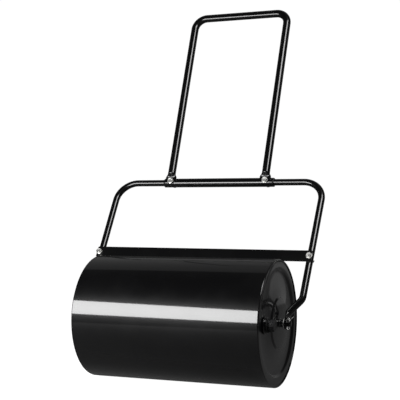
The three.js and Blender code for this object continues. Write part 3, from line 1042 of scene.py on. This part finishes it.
@dataclass
class Drum:
    """The rolled shell, its pressed end plates, and the tube for the axle."""

    shop: Workshop
    layout: Layout
    sheet: float = 1.5
    rim_radius: float = 3.0
    rim_lip: float = 5.0
    flange_depth: float = 20.0
    flange_radius: float = 3.0
    step_radius: float = 135.0
    step_width: float = 7.0
    step_depth: float = 5.0
    boss_radius: float = 67.0
    boss_width: float = 6.0
    boss_rise: float = 4.0
    dish_rise: float = 6.0
    tube_bore: float = 7.5
    tube_radius: float = 10.0
    weld: float = 3.0
    sides: int = 240

    @property
    def plate_face(self) -> float:
        """How far the plate's flat land stands out from the rim plane."""
        return -self.sheet - SEAT_GAP

    @property
    def boss_face(self) -> float:
        """How far the boss stands out from the rim plane."""
        return self.plate_face - self.step_depth + self.dish_rise + self.boss_rise

    def shell(self) -> None:
        """The shell, its edge turned in over the end plates."""
        radius, rim = self.layout.drum_radius, self.layout.rim_plane
        corner = (radius - self.rim_radius, rim - self.rim_radius)
        outside = [(radius - self.rim_lip, rim), *arc(corner, self.rim_radius, 90, 0, 7)]
        far = [(r, -along) for r, along in reversed(outside)]
        outline = sheet_outline(list(reversed([*outside, *far])), self.sheet)
        form = turned(outline, self.sides)
        self.shop.piece("drum_shell", form, DRUM_ENAMEL, Body.DRUM, self.layout.on_axle())

    def plate_line(self) -> list[Point]:
        """The outer face of an end plate: flange, land, step, dished face and boss.

        Returns:
            Its (radius, along) points, from the rim plane.
        """
        flange = self.layout.drum_radius - self.sheet - SEAT_GAP
        face, low = self.plate_face, self.plate_face - self.step_depth
        corner = (flange - self.flange_radius, face - self.flange_radius)
        step_end = self.step_radius - self.step_width
        boss_top = (self.boss_radius - self.boss_width, self.boss_face)
        return [
            (flange, face - self.flange_depth),
            *arc(corner, self.flange_radius, 0, 90, 6),
            *swage((self.step_radius, face), (step_end, low)),
            *swage((self.boss_radius, low + self.dish_rise), boss_top),
            (self.tube_radius + SEAT_GAP, self.boss_face),
        ]

    def plate(self, side: Side, holes: Sequence[Hole]) -> None:
        """One end plate.

        Args:
            side: which end it closes.
            holes: what is drilled out of it.
        """
        form = turned(sheet_outline(self.plate_line(), self.sheet), self.sides)
        form.transform(Matrix.Translation((self.layout.rim_plane, 0, 0)))
        place = self.layout.on_axle() @ side.from_right
        self.shop.piece(f"end_plate_{side.label}", form, PLATE_ENAMEL, Body.DRUM, place, holes)

    def axle_tube(self) -> None:
        """The tube through the drum."""
        half = extent("axle_tube").x / 2
        form = turned(washer_profile(self.tube_bore, self.tube_radius, -half, half, 0.5), 72)
        self.shop.piece("axle_tube", form, PLATE_ENAMEL, Body.DRUM, self.layout.on_axle())

    def axle_weld(self, side: Side) -> None:
        """The bead that joins the axle tube to a plate.

        Args:
            side: which end of the tube it is at.
        """
        bead = weld_bead(self.tube_radius, self.layout.rim_plane + self.boss_face, self.weld, 26)
        place = self.layout.on_axle() @ side.from_right
        name = f"axle_weld_{side.label}"
        self.shop.piece(name, bead, PLATE_ENAMEL, Body.DRUM, place, replaces=False)

    def build(self, filler_hole: Hole) -> None:
        """Makes the drum's pieces.

        Args:
            filler_hole: the hole for the filler socket in the right plate.
        """
        self.shell()
        self.plate(Side.LEFT, [])
        self.plate(Side.RIGHT, [filler_hole])
        self.axle_tube()
        for side in Side:
            self.axle_weld(side)


@dataclass
class Filler:
    """The filler socket in the right plate, its sealing ring and its plug."""

    shop: Workshop
    layout: Layout
    bore: float = 11.0
    socket_radius: float = 15.5
    flange: float = 3.0
    plug_radius: float = 15.5
    flutes: int = 12
    flute_depth: float = 0.8
    grip_length: float = 11.0
    hexagon_width: float = 27.0
    drill_length: float = 60.0
    hexagon_height: float = 5.0
    clearance: float = 0.4
    sides: int = 144

    def place(self) -> Matrix:
        """The move onto the filler's axis, at X = 0."""
        centre = middle("filler_seal")
        return Matrix.Translation((0, centre.y, centre.z))

    def hole(self) -> Hole:
        """The hole in the right plate, about the plate's own middle.

        Returns:
            The hole.
        """
        centre = middle("filler_seal")
        at = Matrix.Translation((self.layout.rim_plane, centre.y, centre.z - self.layout.axle_height))
        return Hole(self.socket_radius + SEAT_GAP, at, self.drill_length)

    def socket(self) -> None:
        """The threaded socket with its flange."""
        low, high = (corner.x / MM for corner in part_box("filler_neck"))
        outer, shoulder = extent("filler_neck").z / 2, high - self.flange
        profile = [
            (self.bore, low),
            (self.socket_radius - 0.6, low),
            (self.socket_radius, low + 0.6),
            (self.socket_radius, shoulder),
            *arc((outer - 0.6, shoulder + 0.6), 0.6, -90, 0, 3),
            *arc((outer - 0.6, high - 0.6), 0.6, 0, 90, 3),
            (self.bore + 0.8, high),
            (self.bore, high - 0.8),
        ]
        form = turned(profile, 96)
        self.shop.piece("filler_neck", form, PLATE_ENAMEL, Body.DRUM, self.place())

    def seal(self) -> None:
        """The sealing ring."""
        low, high = (corner.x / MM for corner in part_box("filler_seal"))
        form = turned(washer_profile(self.bore, extent("filler_seal").z / 2, low, high, 0.7), 96)
        self.shop.piece("filler_seal", form, RUBBER, Body.SEAL, self.place())

    def fluted(self, along: float, inset: float) -> Ring:
        """One ring of the fluted grip.

        Args:
            along: its place on the axis.
            inset: how far it is drawn in from the full radius.

        Returns:
            Its points.
        """
        points = []
        for i in range(self.sides):
            turn = 2 * math.pi * i / self.sides
            flute = self.flute_depth * (1 - math.cos(self.flutes * turn)) / 2
            reach = self.plug_radius - flute - inset
            points.append(Vector((along, reach * math.cos(turn), reach * math.sin(turn))))
        return points

    def plug(self) -> None:
        """The plug: threaded stem, fluted grip and a chamfered hexagon."""
        low, high = (corner.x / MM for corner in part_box("filler_plug"))
        front = high - self.hexagon_height
        back = front - self.grip_length
        corner = self.hexagon_width / math.sqrt(3)
        stem = self.bore - self.clearance
        rings = [circle(stem - 1.2, self.sides, low)]
        rings += thread_rings(stem, 0.9, 2.5, low + 1.0, back - 0.6, self.sides)
        rings += [circle(stem, self.sides, back)]
        rings += [self.fluted(back + x, i) for x, i in ((0, 1.0), (0.3, 0.3), (1.0, 0.0))]
        rings += [self.fluted(front - x, i) for x, i in ((1.4, 0.0), (0.5, 0.3), (0.1, 0.8), (0.0, 1.3))]
        for rise, cone in ((0.0, 0.2), (0.35, 0.0), (0.70, 0.0), (0.86, 0.35), (0.96, 1.0), (1.0, 1.6)):
            ring = hexagon(self.hexagon_width - 0.2 * rise, corner - cone, self.sides)
            rings.append(ring(front + self.hexagon_height * rise))
        centre = self.hexagon_width / 2 - 4.2
        rings += [circle(centre, self.sides, high), circle(centre - 0.8, self.sides, high - 0.9)]
        self.shop.piece("filler_plug", loft(rings), PLASTIC, Body.PLUG, self.place())

    def weld(self) -> None:
        """The bead round the socket's flange, on the plate."""
        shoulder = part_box("filler_neck")[1].x / MM - self.flange
        bead = weld_bead(extent("filler_neck").z / 2 - 0.6, shoulder - 1.6, 2.4, 40)
        self.shop.piece("filler_weld", bead, PLATE_ENAMEL, Body.DRUM, self.place(), replaces=False)

    def build(self) -> None:
        """Makes the filler's pieces."""
        self.socket()
        self.weld()
        self.seal()
        self.plug()


# ---------------------------------------------------------------- axle and frame


@dataclass
class AxleSet:
    """The through axle with its washers and split pins."""

    shop: Workshop
    layout: Layout
    radius: float = 7.0
    chamfer: float = 1.5
    washer_bore: float = 7.3
    wire: float = 1.5
    eye: float = 2.6
    eye_drop: float = 1.5
    stand: float = 2.0
    long_leg: float = 14.0
    long_angle: float = math.radians(34)
    short_leg: float = 7.0
    short_angle: float = math.radians(14)
    bend: float = 3.0
    neck_bend: float = 1.0
    drill_length: float = 30.0
    pin_clearance: float = 0.4

    @property
    def leg_place(self) -> float:
        """How far each leg of the pin stands from its middle."""
        return (self.wire + SEAT_GAP) / 2

    def pin_place(self) -> float:
        """Where the pins stand on the axle, from the middle of the right pin's eye."""
        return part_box("split_pin_right")[0].x / MM + self.eye + self.wire / 2

    def axle(self) -> None:
        """The rod, chamfered and drilled for its pins."""
        end = extent("axle").x / 2
        inner = self.radius - self.chamfer
        profile = [(inner, -end), (self.radius, self.chamfer - end)]
        profile += [(radius, -along) for radius, along in reversed(profile)]
        radius = self.leg_place + self.wire / 2 + self.pin_clearance
        places = (Matrix.Translation((side.value * self.pin_place(), 0, 0)) for side in Side)
        holes = [Hole(radius, place @ DOWN_Z, self.drill_length) for place in places]
        form = turned(profile, 96, loop=False)
        self.shop.piece("axle", form, TUBE_ENAMEL, Body.FRAME, self.layout.on_frame(), holes)

    def washer(self, name: str, finish: Finish) -> None:
        """One plain washer on the axle.

        Args:
            name: its CAD node.
            finish: what it is finished in.
        """
        half = extent(name).x / 2
        profile = washer_profile(self.washer_bore, extent(name).y / 2, -half, half)
        place = self.layout.on_axle() @ Matrix.Translation((middle(name).x, 0, 0))
        self.shop.piece(name, turned(profile, 64), finish, Body.FRAME, place)

    def pin(self, side: Side) -> None:
        """A split pin: an eye below the axle, and legs that spread above it.

        Args:
            side: which end of the axle it is at.
        """
        leg, eye = self.leg_place, self.eye
        neck, bend = -self.radius - self.eye_drop, self.radius + self.stand
        long_tip = (
            leg + self.long_leg * math.sin(self.long_angle),
            bend + self.long_leg * math.cos(self.long_angle),
        )
        short_tip = (
            -leg - self.short_leg * math.sin(self.short_angle),
            bend + self.short_leg * math.cos(self.short_angle),
        )
        down = [long_tip, (leg, bend), (leg, neck), (eye, neck - eye), (eye, neck - 3 * eye)]
        up = [(-eye, neck - 3 * eye), (-eye, neck - eye), (-leg, neck), (-leg, bend), short_tip]
        radii = [self.bend, self.neck_bend, eye, eye, eye, eye, self.neck_bend, self.bend]
        line = BentLine([*down, *up], radii, bend_step=math.radians(9))
        wire = Tube(line, self.wire / 2, sides=14)
        place = self.layout.on_frame() @ side.from_right @ Matrix.Translation((self.pin_place(), 0, 0))
        self.shop.piece(f"split_pin_{side.label}", wire.form(), ZINC, Body.FRAME, place)

    def build(self) -> None:
        """Makes the axle's pieces."""
        self.axle()
        for side in Side:
            self.washer(f"inner_washer_{side.label}", ZINC)
            self.washer(f"outer_washer_{side.label}", TUBE_ENAMEL)
            self.pin(side)


@dataclass
class Fasteners:
    """Hexagon bolts with washers and nuts, each along its own Y axis."""

    shop: Workshop
    shank: float = 4.0
    across_flats: float = 13.0
    head_height: float = 5.3
    head_bevel: float = 0.9
    washer: float = 1.6
    nut_height: float = 7.0
    pitch: float = 1.25
    thread_depth: float = 0.55
    thread_length: float = 22.0
    past_nut: float = 3.0
    sides: int = 72

    def head_rings(self, low: float, height: float, outward: int) -> list[Ring]:
        """The rings of a hexagon from its seat up to its chamfered top.

        Args:
            low: where the seat stands on the axis.
            height: the hexagon's height.
            outward: 1 or -1, which way it rises.

        Returns:
            The rings, seat first.
        """
        corner = self.across_flats / math.sqrt(3)
        steps = ((0.0, 0.5), (0.3, 0.0), (0.62, 0.0), (0.74, 0.12), (0.85, 0.4), (0.94, 0.8), (1.0, 1.3))
        rings = []
        for rise, cone in steps:
            ring = hexagon(self.across_flats, corner - cone, self.sides)
            rings.append(ring(low + outward * height * rise))
        return rings

    def bolt(self, name: str, length: float, place: Matrix) -> None:
        """One bolt, its seat at the origin and its shank towards +X.

        Args:
            name: its CAD node.
            length: its shank's length.
            place: where it goes.
        """
        head = self.head_rings(0.0, self.head_height, -1)
        dish = self.across_flats / 2 - 1.6
        top = [
            circle(dish, self.sides, -self.head_height),
            circle(dish - 0.9, self.sides, 0.35 - self.head_height),
        ]
        plain = [circle(self.shank, self.sides, along) for along in (0.0, length - self.thread_length)]
        start, end = length - self.thread_length + 0.3, length - 1.0
        thread = thread_rings(self.shank, self.thread_depth, self.pitch, start, end, self.sides)
        tip = [circle(self.shank - 1.0, self.sides, length)]
        form = loft([*reversed(top), *reversed(head), *plain, *thread, *tip])
        self.shop.piece(name, form, ZINC, Body.FRAME, place @ ALONG_Y)

    def nut(self, name: str, place: Matrix) -> None:
        """One hexagon nut, chamfered at both faces.

        Args:
            name: its CAD node.
            place: where its seat goes.
        """
        half = self.nut_height / 2
        outer = self.head_rings(half, half, -1)[::-1] + self.head_rings(half, half, 1)[1:]
        bore = self.shank + SEAT_GAP
        flare, top = 0.5, self.nut_height
        inner = [(bore + flare, top), (bore, top - flare), (bore, flare), (bore + flare, 0.0)]
        rings = outer + [circle(radius, self.sides, along) for radius, along in inner]
        self.shop.piece(name, loft(rings, loop=True), ZINC, Body.FRAME, place @ ALONG_Y)

    def plain_washer(self, name: str, place: Matrix) -> None:
        """One plain washer, from its seat at the origin towards +X.

        Args:
            name: its CAD node.
            place: where its seat goes.
        """
        outer = extent(name).x / 2
        form = turned(washer_profile(self.shank + SEAT_GAP, outer, 0.0, self.washer, 0.25), 64)
        self.shop.piece(name, form, ZINC, Body.FRAME, place @ ALONG_Y)

    def through(self, name: str, at: Matrix, front: float, back: float) -> None:
        """A bolt with its washer in front and its nut behind.

        Args:
            name: how the three CAD nodes' names start.
            at: the move to the middle of what is bolted.
            front: how far its front face stands from there.
            back: how far its back face stands from there.
        """
        seat = front + SEAT_GAP
        head = seat + self.washer + SEAT_GAP
        nut = back + SEAT_GAP
        length = head + nut + self.nut_height + self.past_nut
        self.plain_washer(f"{name}_washer", at @ Matrix.Translation((0, -seat - self.washer, 0)))
        self.bolt(f"{name}_bolt", length, at @ Matrix.Translation((0, -head, 0)))
        self.nut(f"{name}_nut", at @ Matrix.Translation((0, nut, 0)))


def bolt_hole(radius: float, x: float, z: float, tilt: float = 0.0) -> Hole:
    """A hole along Y through the middle of a tube or a bar.

    Args:
        radius: the hole's radius.
        x: its place along X.
        z: its place along Z.
        tilt: how far it is turned about X.

    Returns:
        The hole.
    """
    turned_to = Matrix.Rotation(tilt, 4, "X") @ ALONG_Y
    return Hole(radius, Matrix.Translation((x, 0, z)) @ turned_to)


@dataclass
class LowerFrame:
    """The two side tubes, the sleeve that joins them and the cross bar."""

    shop: Workshop
    layout: Layout
    fasteners: Fasteners
    tube_radius: float = 9.0
    tube_wall: float = 1.5
    leg_standoff: float = 49.0
    leg_spread: float = 12.0
    leg_bend: float = 57.0
    offset_bend: float = 28.0
    offset_low: float = 28.0
    offset_high: float = 69.0
    tab_end: float = 14.0
    press: Press = Press(flat=27.0, blend=18.0, half=1.75)
    tab_bore: float = 7.3
    stub_past_bolt: float = 25.5
    sleeve_bore: float = 9.5
    sleeve_radius: float = 12.5
    bar_height: float = 32.0
    bar_thickness: float = 3.0
    bar_corner: float = 3.0
    bolt_bore: float = 4.4

    @property
    def leg_foot(self) -> float:
        """Where the leg's line would meet the axle, from the drum's middle."""
        return self.layout.rim_plane + self.leg_standoff

    def leg_at(self, height: float) -> float:
        """How far the leg's line stands out at a height up the frame."""
        return self.leg_foot + self.leg_spread / 2 * height / self.layout.frame_length

    def bar_place(self) -> float:
        """How far up the frame the cross bar's middle stands."""
        bar, axle = middle("scraper_bar"), self.layout.axle_height
        return math.sin(self.layout.frame_lean) * bar.y + math.cos(self.layout.frame_lean) * (bar.z - axle)

    def side_tube(self, side: Side, handle_foot: float, tilt: float) -> None:
        """One side tube, from its pressed tab up and over into the sleeve.

        Args:
            side: which side it stands on.
            handle_foot: where the handle's bolt passes through it.
            tilt: how far that bolt is turned from the frame's plane.
        """
        washer_face = middle("outer_washer_right").x - extent("outer_washer_right").x / 2
        tab = washer_face - SEAT_GAP - self.press.half
        top = self.layout.frame_length
        line = BentLine(
            corners=[
                (tab, -self.tab_end),
                (tab, self.offset_low),
                (self.leg_at(self.offset_high), self.offset_high),
                (self.leg_at(top), top),
                (handle_foot - self.stub_past_bolt, top),
            ],
            radii=[self.offset_bend, self.offset_bend, self.leg_bend],
        )
        bar = self.bar_place()
        holes = [
            Hole(self.tab_bore, Matrix.Translation((tab, 0, 0))),
            bolt_hole(self.bolt_bore, self.leg_at(bar), bar),
            bolt_hole(self.bolt_bore, handle_foot, top, tilt),
        ]
        form = Tube(line, self.tube_radius, self.tube_wall, self.press).form()
        place = self.layout.on_frame() @ side.from_right
        self.shop.piece(f"side_tube_{side.label}", form, TUBE_ENAMEL, Body.FRAME, place, holes)

    def sleeve(self, handle_foot: float, lean: float) -> None:
        """The sleeve tube.

        Args:
            handle_foot: where the handle's bolts pass through it.
            lean: the handle's lean, which its holes follow.
        """
        half = extent("sleeve_tube").x / 2
        form = turned(washer_profile(self.sleeve_bore, self.sleeve_radius, -half, half, 0.7), 96)
        holes = [bolt_hole(self.bolt_bore, side.value * handle_foot, 0) for side in Side]
        self.shop.piece("sleeve_tube", form, TUBE_ENAMEL, Body.FRAME, self.layout.on_sleeve(lean), holes)

    def bar_ring(self, inset: float, depth: float) -> Ring:
        """One ring of the cross bar's rounded outline.

        Args:
            inset: how far it is drawn in.
            depth: how far forward it stands.

        Returns:
            Its points.
        """
        half_length, half_height = extent("scraper_bar").x / 2, self.bar_height / 2
        u, v, corner = half_length - self.bar_corner, half_height - self.bar_corner, self.bar_corner - inset
        outline = []
        for (x, z), start in (((u, v), 0), ((-u, v), 90), ((-u, -v), 180), ((u, -v), 270)):
            outline += arc((x, z), corner, start, start + 90, 6)
        return [Vector((x, -depth, z)) for x, z in outline]

    def cross_bar(self) -> None:
        """The flat bar in front of the side tubes."""
        thick = self.bar_thickness
        edge = ((0.45, 0.0), (0.12, 0.12), (0.0, 0.45))
        steps = [*edge, *((inset, thick - depth) for inset, depth in reversed(edge))]
        form = loft([self.bar_ring(inset, depth) for inset, depth in steps])
        bar = self.bar_place()
        place = self.layout.on_frame() @ Matrix.Translation((0, -self.tube_radius - SEAT_GAP, bar))
        holes = [bolt_hole(self.bolt_bore, side.value * self.leg_at(bar), 0) for side in Side]
        self.shop.piece("scraper_bar", form, BAR_ENAMEL, Body.FRAME, place, holes)

    def build(self, handle_foot: float, lean: float) -> None:
        """Makes the lower frame's pieces.

        Args:
            handle_foot: where the handle's bolts stand, from the middle.
            lean: the handle's lean.
        """
        for side in Side:
            self.side_tube(side, handle_foot, self.layout.frame_lean - lean)
        self.sleeve(handle_foot, lean)
        self.cross_bar()
        front = self.tube_radius + SEAT_GAP + self.bar_thickness
        for side in Side:
            bar = self.bar_place()
            at = self.layout.on_frame() @ Matrix.Translation((side.value * self.leg_at(bar), 0, bar))
            self.fasteners.through(f"bar_{side.label}", at, front, self.tube_radius)


@dataclass
class Handle:
    """The push handle, one bent tube with pressed ends bolted to the front of the sleeve."""

    shop: Workshop
    layout: Layout
    fasteners: Fasteners
    lean: float = math.radians(22.4)
    length: float = 532.7
    radius: float = 11.0
    wall: float = 1.5
    foot: float = 140.5
    spread: float = 8.0
    bend: float = 35.0
    end: float = 6.0
    press: Press = Press(flat=16.0, blend=13.0, half=1.75, ends=(True, True), wide_in_plane=True)
    sleeve_radius: float = 12.5
    bolt_bore: float = 4.4

    @property
    def offset(self) -> float:
        """How far the handle's plane stands in front of the sleeve's middle."""
        return self.sleeve_radius + SEAT_GAP + self.press.half

    def tube(self) -> None:
        """The handle tube."""
        top = self.foot + self.spread / 2
        right = [(self.foot, -self.end), (top, self.length)]
        left = [(-across, along) for across, along in reversed(right)]
        line = BentLine([*right, *left], [self.bend, self.bend], straight_step=1.0)
        form = Tube(line, self.radius, self.wall, self.press, sides=56).form()
        place = self.layout.on_sleeve(self.lean) @ Matrix.Translation((0, -self.offset, 0))
        holes = [bolt_hole(self.bolt_bore, side.value * self.foot, 0) for side in Side]
        self.shop.piece("handle_tube", form, TUBE_ENAMEL, Body.FRAME, place, holes)

    def build(self) -> None:
        """Makes the handle and its bolts."""
        self.tube()
        front = self.offset + self.press.half
        for side in Side:
            at = self.layout.on_sleeve(self.lean) @ Matrix.Translation((side.value * self.foot, 0, 0))
            self.fasteners.through(f"handle_{side.label}", at, front, self.sleeve_radius)


# ---------------------------------------------------------------- studio


@dataclass(frozen=True)
class Softbox:
    """A soft light: its middle, the point it faces, its width and height, and its radiance beside paper."""

    name: str
    place: tuple[float, float, float]
    aim: tuple[float, float, float]
    size: Point
    radiance: float

    def build(self) -> None:
        """Sets up the light."""
        data = bpy.data.lights.new(self.name, "AREA")
        data.shape = "RECTANGLE"
        data.size, data.size_y = self.size
        data.energy = self.radiance * math.pi * self.size[0] * self.size[1]
        made = bpy.data.objects.new(self.name, data)
        made.location = self.place
        facing = Vector(self.aim) - Vector(self.place)
        made.rotation_euler = facing.to_track_quat("-Z", "Y").to_euler()
        made.visible_camera = False
        bpy.context.scene.collection.objects.link(made)


SOFTBOXES = (
    Softbox("key", (-0.525, -1.2, 0.53), (-0.145, 0.0, 0.25), (1.15, 0.48), 15.5),
    Softbox("overhead", (1.2, -0.52, 2.0), (0.0, 0.15, 0.5), (0.75, 0.95), 10.5),
    Softbox("behind", (-1.0, 1.35, 2.03), (-1.0, 0.0, 0.3), (3.5, 2.1), 0.13),
    Softbox("backdrop", (1.15, 3.0, 1.0), (1.15, 0.0, 1.0), (3.7, 2.0), 0.14),
)


@dataclass
class Studio:
    """A pale floor, a white surround and soft lights."""

    camera_place: tuple[float, float, float] = (1.0161, -2.3944, 0.4611)
    camera_yaw: float = math.radians(22.22)
    camera_pitch: float = math.radians(0.12)
    lens: float = 90.6
    white: float = 1.02
    surround: float = 0.03
    floor_radius: float = 6.0
    floor_sides: int = 64
    floor_drop: float = 0.0006

    def camera(self) -> None:
        """Sets up the camera."""
        data = bpy.data.cameras.new("camera")
        data.lens = self.lens
        data.dof.use_dof = False
        made = bpy.data.objects.new("camera", data)
        made.location = self.camera_place
        made.rotation_euler = (math.pi / 2 + self.camera_pitch, 0.0, self.camera_yaw)
        bpy.context.scene.collection.objects.link(made)
        bpy.context.scene.camera = made

    def floor_look(self, name: str, shine: float, grey: float) -> bpy.types.Material:
        """A floor that shines a little by itself and takes soft light.

        Args:
            name: its name.
            shine: how much of its brightness shadows can't take.
            grey: the grey of the part that they can.

        Returns:
            The material.
        """
        shader = Shader(bpy.data.materials.new(name))
        mottle = shader.noise(3.0, 3.0)
        colour = shader.tint(mottle, (grey,) * 3, (grey * 0.97,) * 3)
        light = shader.node("ShaderNodeEmission", sockets={"Strength": shine})
        paper = shader.node("ShaderNodeBsdfDiffuse", sockets={"Color": colour})
        both = shader.node("ShaderNodeAddShader", sockets={0: light.outputs[0], 1: paper.outputs[0]})
        shader.node("ShaderNodeOutputMaterial", sockets={"Surface": both.outputs[0]})
        return shader.owner

    def floor(self, name: str, drop: float, look: bpy.types.Material) -> bpy.types.Object:
        """One round floor.

        Args:
            name: its name.
            drop: how far under the drum it lies, in metres.
            look: its material.

        Returns:
            The floor.
        """
        form = bmesh.new()
        rim = circle(self.floor_radius, self.floor_sides, -drop)
        form.faces.new([form.verts.new((point.y, point.z, point.x)) for point in rim])
        mesh = bpy.data.meshes.new(name)
        form.to_mesh(mesh)
        form.free()
        mesh.materials.append(look)
        made = bpy.data.objects.new(name, mesh)
        bpy.context.scene.collection.objects.link(made)
        return made

    def floors(self) -> None:
        """The floor as it is seen, and a darker one that the gloss reflects."""
        seen = self.floor("floor", self.floor_drop, self.floor_look("pale_floor", 1.0, 0.4))
        seen.visible_glossy = seen.visible_diffuse = seen.visible_shadow = False
        dim = self.floor_look("dim_floor", 0.05, 0.10)
        self.floor("floor_reflected", 2 * self.floor_drop, dim).visible_camera = False

    def world(self) -> None:
        """White to look at, dim to reflect."""
        shader = Shader(bpy.data.worlds.new("surround"))
        paper = {"Color": (1.0, 1.0, 1.0, 1.0)}
        white = shader.node("ShaderNodeBackground", sockets={**paper, "Strength": self.white})
        dim = shader.node("ShaderNodeBackground", sockets={**paper, "Strength": self.surround})
        seen = shader.node("ShaderNodeLightPath").outputs["Is Camera Ray"]
        mix = shader.node("ShaderNodeMixShader", sockets={0: seen, 1: dim.outputs[0], 2: white.outputs[0]})
        shader.node("ShaderNodeOutputWorld", sockets={"Surface": mix.outputs[0]})
        bpy.context.scene.world = shader.owner

    def build(self) -> None:
        """Sets up the whole studio."""
        bpy.context.scene.view_settings.view_transform = "Standard"
        self.camera()
        self.world()
        self.floors()
        for softbox in SOFTBOXES:
            softbox.build()


def main() -> None:
    """Builds the roller and its studio."""
    logging.basicConfig(level=logging.INFO, format="%(name)s: %(message)s")
    shop, layout = Workshop(), Layout.read()
    filler = Filler(shop, layout)
    fasteners = Fasteners(shop)
    Drum(shop, layout).build(filler.hole())
    filler.build()
    AxleSet(shop, layout).build()
    handle = Handle(shop, layout, fasteners)
    LowerFrame(shop, layout, fasteners).build(handle.foot, handle.lean)
    handle.build()
    Studio().build()
    LOG.info("%d pieces", len(shop.pieces))


if __name__ == "__main__":
    main()
